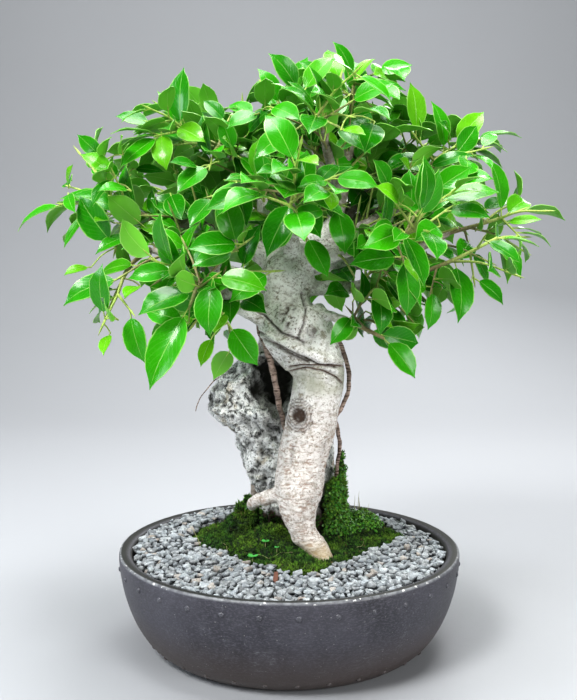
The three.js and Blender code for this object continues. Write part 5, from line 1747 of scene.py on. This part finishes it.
class Spray:
    """The shoots and leaves of one spray, found again in the solid that it stands for."""

    def __init__(self, name, number):
        self.name, self.number = name, number
        points = points_of(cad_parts[f"spray_{name}"])
        self.solid = KDTree(len(points))
        for i, point in enumerate(points):
            self.solid.insert(Vector(point), i)
        self.solid.balance()
        self.stem = stem_path(name)
        self.wood = [Vector(p) for p in BRANCHES[name][0]]
        self.shoots, self.twigs, self.leaves, self.front, self.inner = [], [], [], [], []
        self.grow_main_shoots()
        self.grow_more_shoots()
        self.hang_front_leaves()
        self.grow_inner_shoots()

    def keep(self, attempts, shown=False):
        """Adds the first of the attempted leaves whose tip the solid has."""
        for leaf in attempts:
            if self.solid.find(leaf.tip + leaf.up * TIP_LIFT)[2] < TIP_GAP:
                if shown:
                    leaf.show_its_face()
                self.leaves.append(leaf)
                return

    def add_shoot(self, path, seed):
        """Adds a shoot, with the leaves that the solid has along it."""
        if len(path) > 1:
            self.shoots.append(path)
        reach = (path[-1] - path[0]).length
        for i in range(1, int(reach / LEAF_STEP) + 1):
            share = 1 - i * (LEAF_STEP / reach)
            if share < 0.12:
                break
            ahead = heading(path)
            direction = (ahead * 0.55 + across(ahead, seed * 1.3 + i * GOLDEN_ANGLE)).normalized()
            foot = on_path(path, share)
            self.keep(grown_leaf(foot, direction, seed * 32 + i, k, 1) for k in range(ATTEMPTS))

    def grow_main_shoots(self):
        for i, ends in enumerate(SPRAYS[self.name][1]):
            foot, tip, seed = Vector(ends[:3]), Vector(ends[3:]), self.number * 100 + i
            shares = [0.25 + 0.1 * k for k in range(8)]
            start = on_path(self.stem, min(shares, key=lambda s: (on_path(self.stem, s) - foot).length))
            path = shoot_path(start, foot)
            self.keep((aimed_leaf(path[-1], tip, seed, k) for k in range(ATTEMPTS)), shown=True)
            self.add_shoot(path, seed)

    def grow_more_shoots(self):
        more = SPRAYS[self.name][2]
        ahead = heading(self.stem)
        for i in range(more):
            seed = self.number * 100 + 50 + i
            start = on_path(self.stem, mix(0.2, 1, (i + 0.5) / more))
            for attempt in range(ATTEMPTS):
                draw = random_numbers(seed * 16 + attempt)
                side = across(ahead, i * GOLDEN_ANGLE + draw() * 2 + attempt)
                direction = (side + outwards(start) + ahead * 0.3).normalized()
                end = start + direction * mix(42, 62, draw())
                path = shoot_path(start, end)
                bud = end + (end - path[-2]).normalized() * BUD_REACH
                if len(self.solid.find_range(bud, BUD_GAP)) >= 2:
                    self.keep(grown_leaf(end, direction, seed * 32, k, 0.9) for k in range(ATTEMPTS))
                    self.add_shoot(path, seed)
                    break

    def hang_front_leaves(self):
        """Adds the leaves placed one by one, each on a thin twig from the nearest shoot."""
        carriers = [*self.shoots, self.stem, self.wood]
        for *ends, width, kind in FRONT_LEAVES.get(self.name, ()):
            foot, tip = Vector(ends[:3]), Vector(ends[3:])
            spots = [on_path(path, k / 24) for path in carriers for k in range(3, 25)]
            start = min(spots, key=lambda spot: (spot - foot).length)
            if (foot - start).length > 3:
                self.twigs.append([start, start.lerp(foot, 0.55) + UP * 0.1 * (foot - start).length, foot])
            tone, youth, turned_over = LEAF_KINDS[kind]
            face = Vector((foot.x / 400, 1, 0.3) if turned_over else (foot.x / 400, -1, 0.55))
            reach = (tip - foot).length
            self.front.append(Leaf(foot, tip, face.normalized(), width * reach, 0.06, 0.25, youth, tone))
        self.leaves += self.front

    def grow_inner_shoots(self):
        """Adds side shoots along the wood, which carry the leaves in the heart of the crown."""
        ahead = heading(self.wood)
        draw = random_numbers(self.number + 700)
        count = int(path_length(self.wood) / 15)
        for i in range(count):
            start = on_path(self.wood, mix(0.4, 0.88, (i + 0.5) / count))
            side = across(ahead, i * GOLDEN_ANGLE + 1.2 * draw())
            reach = mix(30, 56, draw())
            end = start + (side + outwards(start) * 0.5 + ahead * 0.3 + UP * 0.25).normalized() * reach
            if in_crown(end):
                self.inner.append([start, start.lerp(end, 0.5) + UP * 0.06 * reach, end])


def spots_of(leaves):
    return np.array([spot for leaf in leaves for spot in leaf.frame_points()])


def added_leaf(foot, ahead, place, attempt, near_tip, draw):
    """One more leaf from a foot on a shoot, smaller and turned further with each attempt."""
    youth = draw() ** 3
    size = mix(50, 26, max(youth, 0.08 * attempt)) * mix(0.88, 1.08, draw())
    wander = jitter(draw) * 0.7
    side = across(ahead, place * GOLDEN_ANGLE + attempt * 0.9 + draw())
    direction = (ahead * 0.6 + side * 0.9 + outwards(foot) * 0.35 + wander).normalized()
    return Leaf(
        foot, foot + direction * size, leaf_face(foot, draw), size * mix(0.42, 0.51, draw()),
        mix(0.03, 0.11, draw()), mix(0.1, 0.45, draw()), youth if near_tip else 0,
    )


def fill_with_leaves(sprays, settings):
    """Adds leaves along the shoots and stems wherever there is room."""
    spacing, clearance = settings.spacing / MM, settings.clearance / MM
    taken = spots_of(leaf for spray in sprays for leaf in spray.leaves)
    shown = from_the_eye(spots_of(leaf for spray in sprays for leaf in spray.front))
    draw = random_numbers(4)
    for spray in sprays:
        for path in [*spray.shoots, *spray.inner, spray.stem]:
            reach = path_length(path)
            for i in range(int(reach / spacing) + 1):
                share = min(1, (i * spacing + 5) / reach)
                foot = on_path(path, share)
                ahead = heading(path)
                if draw() < 0.7 * fade(abs(foot.x), 70, 150):
                    continue
                for attempt in range(8):
                    leaf = added_leaf(foot, ahead, i, attempt, share > 0.6, draw)
                    points = np.array(leaf.frame_points())
                    gaps = np.linalg.norm(taken[:, None] - points[None], axis=2)
                    apart = shown[:, None] - from_the_eye(points)[None]
                    hides = (np.hypot(apart[..., 0], apart[..., 1]) < 8) & (apart[..., 2] > 0)
                    if in_crown(leaf.tip) and gaps.min() > clearance and not hides.any():
                        spray.leaves.append(leaf)
                        taken = np.vstack([taken, points])
                        break


def leaf_model(settings):
    """One flat leaf: blade and stalk, one unit long and wide, its thickness in millimetres."""
    steps = len(BLADE_OUTLINE) - 1
    bpy.ops.mesh.primitive_grid_add(x_subdivisions=steps, y_subdivisions=4, size=1, calc_uvs=True)
    model = bpy.context.active_object
    model.data.uv_layers[0].name = "blade"
    for point in model.data.vertices:
        share, half = BLADE_OUTLINE[round((point.co.x + 0.5) * steps)]
        point.co = (mix(settings.stalk, 1, share), point.co.y * 2 * half, 0)
    merge_doubles(1e-5)
    shaped(model, "SOLIDIFY", thickness=settings.thickness / MM, offset=0)
    return model


class LeafModel:
    """The leaf's points, faces and blade map, ready to be bent onto each leaf of a spray."""

    def __init__(self, settings):
        model = leaf_model(settings)
        mesh = model.data
        self.points = np.array([v.co for v in mesh.vertices])
        self.faces = [tuple(p.vertices) for p in mesh.polygons]
        self.map = np.array([uv.vector for uv in mesh.uv_layers["blade"].uv])
        self.under = (self.points[:, 2] < 0).astype(float)
        self.stalk = settings.stalk
        bpy.data.objects.remove(model)

    def bent(self, leaf):
        """The model's points on one leaf, in millimetres."""
        share, half, lift = self.points.T
        wide = leaf.width
        trough = np.sqrt(half**2 + 0.0016) - 0.04 - 0.45 * half**2
        wave = 0.018 * np.sin(share * 15 + leaf.foot.x) * np.clip(np.abs(half) * 4, 0, 1) * wide
        droop = np.clip((share - 0.6) / 0.4, 0, 1) ** 2 * leaf.curl * leaf.length
        arch = 4 * leaf.arch * share * (1 - share) * leaf.length
        rise = arch + leaf.fold * trough * wide + wave - droop + lift
        ahead, side, up = (np.array(v) for v in (leaf.ahead, leaf.side, leaf.up))
        return (np.array(leaf.foot) + np.outer(share * leaf.length, ahead)
                + np.outer(half * wide, side) + np.outer(rise, up))

    def stalk_rows(self, leaf):
        """Rows of the leaf's stalk, from its foot to a little way under the blade."""
        rows = []
        for part, radius in ((0, 0.75), (0.5, 0.6), (1, 0.62), (1.9, 0.4)):
            share = self.stalk * part
            rise = 4 * leaf.arch * share * (1 - share) * leaf.length - 0.15
            rows.append((*(leaf.foot + leaf.ahead * (share * leaf.length) + leaf.up * rise), radius))
        return rows


def spray_piece(spray, model, blade_material, shoot_material):
    """One spray: its leaves bent from the model, and its stem, shoots and stalks."""
    points, faces, tones, maps, count = [], [], [], [], 0
    for leaf in spray.leaves:
        draw = random_numbers(int(abs(leaf.tip.x * 31 + leaf.tip.z * 17)) + 9)
        points.append(model.bent(leaf))
        faces += moved_on(model.faces, count)
        tone = np.full(len(model.points), mix(0.1, 1, draw()) if leaf.tone is None else leaf.tone)
        youth = max(leaf.youth, 0.75 * (draw() < 0.07 and leaf.foot.y > -60))
        tones.append(np.column_stack([tone, np.full(len(tone), youth), model.under]))
        maps.append(model.map)
        count += len(model.points)
    blades = mesh_piece("blades", np.vstack(points), faces)
    layer = blades.data.uv_layers.new(name="blade")
    layer.uv.foreach_set("vector", np.vstack(maps).astype(np.float32).ravel())
    paint(blades, "tone", *np.vstack(tones).T)
    blades.data.materials.append(blade_material)
    lines = [smooth_rows([(*p, r) for p, r in zip(spray.stem, (2.1, 1.7, 1.3))], 5)]
    for path in [*spray.shoots, *spray.inner]:
        radii = np.linspace(1.25, 0.75, len(path))
        lines.append(smooth_rows([(*p, r) for p, r in zip(path, radii)], 6))
        tip, ahead = path[-1], (path[-1] - path[-2]).normalized()
        bud = ((-1, 0.8), (2, 1.05), (6, 0.75), (11, 0.12))
        lines.append([(*(tip + ahead * reach), r) for reach, r in bud])
    for path in spray.twigs:
        lines.append(smooth_rows([(*p, r) for p, r in zip(path, (0.7, 0.6, 0.6))], 4))
    woody = len(lines)
    lines += [model.stalk_rows(leaf) for leaf in spray.leaves]
    start = np.array(spray.stem[0])
    lines[0][0, :3] -= 2.0 * unit(lines[0][1, :3] - lines[0][0, :3])
    shoots = strands("shoots", lines[:woody], 2)
    away = np.linalg.norm(points_of(shoots) - start, axis=1)
    paint(shoots, "tone", 1 - fade(away, 12, 62), 0, 0)
    stalks = strands("stalks", lines[woody:], 0)
    paint(stalks, "tone", 0, 0, 0)
    for part in (shoots, stalks):
        part.data.materials.append(shoot_material)
    piece = join(blades, shoots, stalks)
    smooth_shade(piece, 50)
    return finished(piece, f"{spray.name}_leaves", "leaf", [f"spray_{spray.name}"])


class BANYAN_OT_foliage(bpy.types.Operator):
    """Grows the leaves and green shoots of every spray"""

    bl_idname = "banyan.foliage"
    bl_label = "Foliage"

    def execute(self, context):
        settings = context.scene.banyan_leaf
        sprays = [Spray(name, number) for number, name in enumerate(SPRAYS)]
        fill_with_leaves(sprays, settings)
        model = LeafModel(settings)
        blade, shoot = glossy_blade(settings), green_shoot(settings)
        for spray in sprays:
            spray_piece(spray, model, blade, shoot)
        return {"FINISHED"}


def select_edges(piece, chosen):
    """Selects the edges with both ends chosen, and goes into edit mode."""
    for edge in piece.data.edges:
        edge.select = all(chosen(piece.data.vertices[i].co) for i in edge.vertices)
    bpy.ops.object.mode_set(mode="EDIT")


# Each softbox in metres: its place, the point it shines at, its size, power and tint
LIGHTS = {
    "key": ((-1.1, -1.3, 1.9), (0, 0, 0.3), 0.7, 60, (1, 0.995, 0.985)),
    "fill": ((1.3, -1.5, 0.8), (0, 0, 0.3), 0.9, 29, (1, 1, 1)),
    "side": ((-1.7, -0.4, 0.7), (0, 0, 0.15), 0.6, 13, (0.85, 0.92, 1)),
    "top": ((0.15, -0.1, 1.9), (0, 0, 0.3), 0.9, 32, (1, 1, 1)),
    "back": ((0.6, 1.6, 1.3), (0, 0, 0.35), 1.0, 16, (1, 1, 1)),
    "backdrop": ((0, 0.9, 3.2), (0, 2.6, 0.9), 2.4, 60, (1, 1, 1)),
}


def soft_light(name, place, aim, size, power, tint):
    """A square softbox that shines at a point."""
    light = bpy.data.lights.new(name, "AREA")
    light.size, light.energy, light.color = size, power, tint
    lamp = placed(name, light)
    lamp.location = place
    lamp.rotation_mode = "QUATERNION"
    lamp.rotation_quaternion = (Vector(aim) - Vector(place)).to_track_quat("-Z", "Y")


class BANYAN_OT_stage(bpy.types.Operator):
    """Sets up the floor, the soft lights and the camera"""

    bl_idname = "banyan.stage"
    bl_label = "Stage"

    def execute(self, context):
        settings = context.scene.banyan_stage
        bpy.ops.mesh.primitive_plane_add(size=8, location=(0, -1.2, 0))
        floor = settle(bpy.context.active_object)
        bpy.ops.object.mode_set(mode="EDIT")
        bpy.ops.mesh.select_all(action="DESELECT")
        leave_edit()
        select_edges(floor, lambda point: point.y > 2)
        bpy.ops.mesh.select_mode(type="EDGE")
        bpy.ops.mesh.extrude_region_move(TRANSFORM_OT_translate={"value": (0, 0, 4)})
        leave_edit()
        select_edges(floor, lambda point: (point - Vector((0, 2.8, 0))).yz.length < 0.01)
        bpy.ops.mesh.bevel(offset=1.6, segments=16)
        leave_edit()
        smooth_shade(floor, 60)
        floor.name = "floor"
        floor.data.materials.append(studio_floor(settings))
        for name, light in LIGHTS.items():
            soft_light(name, *light)
        world = bpy.data.worlds.new("studio")
        world.use_nodes = True
        sky = world.node_tree.nodes["Background"].inputs
        sky["Color"].default_value = (0.82, 0.84, 0.86, 1)
        sky["Strength"].default_value = 0.16
        context.scene.world = world
        view = context.scene.view_settings
        view.view_transform, view.gamma, view.exposure = "Standard", 0.87, 0.16
        camera = placed("camera", bpy.data.cameras.new("camera"))
        camera.data.lens = settings.focal_length
        camera.data.clip_start = 0.02
        camera.location = (EYE_OFFSET * MM, -settings.distance, settings.eye_height)
        camera.rotation_euler = (math.pi / 2 - settings.tilt, 0, 0)
        context.scene.camera = camera
        return {"FINISHED"}


OPERATORS = (
    BANYAN_OT_pot, BANYAN_OT_bedding, BANYAN_OT_gravel, BANYAN_OT_rock, BANYAN_OT_moss,
    BANYAN_OT_trunk, BANYAN_OT_roots, BANYAN_OT_foliage, BANYAN_OT_stage,
)
SETTINGS = {
    "banyan_pot": PotSettings,
    "banyan_ground": GroundSettings,
    "banyan_wood": WoodSettings,
    "banyan_leaf": LeafSettings,
    "banyan_stage": StageSettings,
}


class BANYAN_PT_sidebar(bpy.types.Panel):
    """Lists the steps that dress the bonsai"""

    bl_idname = "BANYAN_PT_sidebar"
    bl_label = "Banyan bonsai"
    bl_space_type = "VIEW_3D"
    bl_region_type = "UI"
    bl_category = "Banyan"

    def draw(self, context):
        for name, group in SETTINGS.items():
            box = self.layout.box()
            for prop in group.__annotations__:
                box.prop(getattr(context.scene, name), prop)
        for operator in OPERATORS:
            self.layout.operator(operator.bl_idname)


def register():
    for group in SETTINGS.values():
        bpy.utils.register_class(group)
    for name, group in SETTINGS.items():
        setattr(bpy.types.Scene, name, PointerProperty(type=group))
    for operator in OPERATORS:
        bpy.utils.register_class(operator)
    bpy.utils.register_class(BANYAN_PT_sidebar)


def unregister():
    bpy.utils.unregister_class(BANYAN_PT_sidebar)
    for operator in reversed(OPERATORS):
        bpy.utils.unregister_class(operator)
    for name, group in SETTINGS.items():
        delattr(bpy.types.Scene, name)
        bpy.utils.unregister_class(group)


def main():
    register()
    bpy.ops.banyan.pot()
    bpy.ops.banyan.bedding()
    bpy.ops.banyan.gravel()
    bpy.ops.banyan.rock()
    bpy.ops.banyan.moss()
    bpy.ops.banyan.trunk()
    bpy.ops.banyan.roots()
    bpy.ops.banyan.foliage()
    bpy.ops.banyan.stage()
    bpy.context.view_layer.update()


if __name__ == "__main__":
    main()
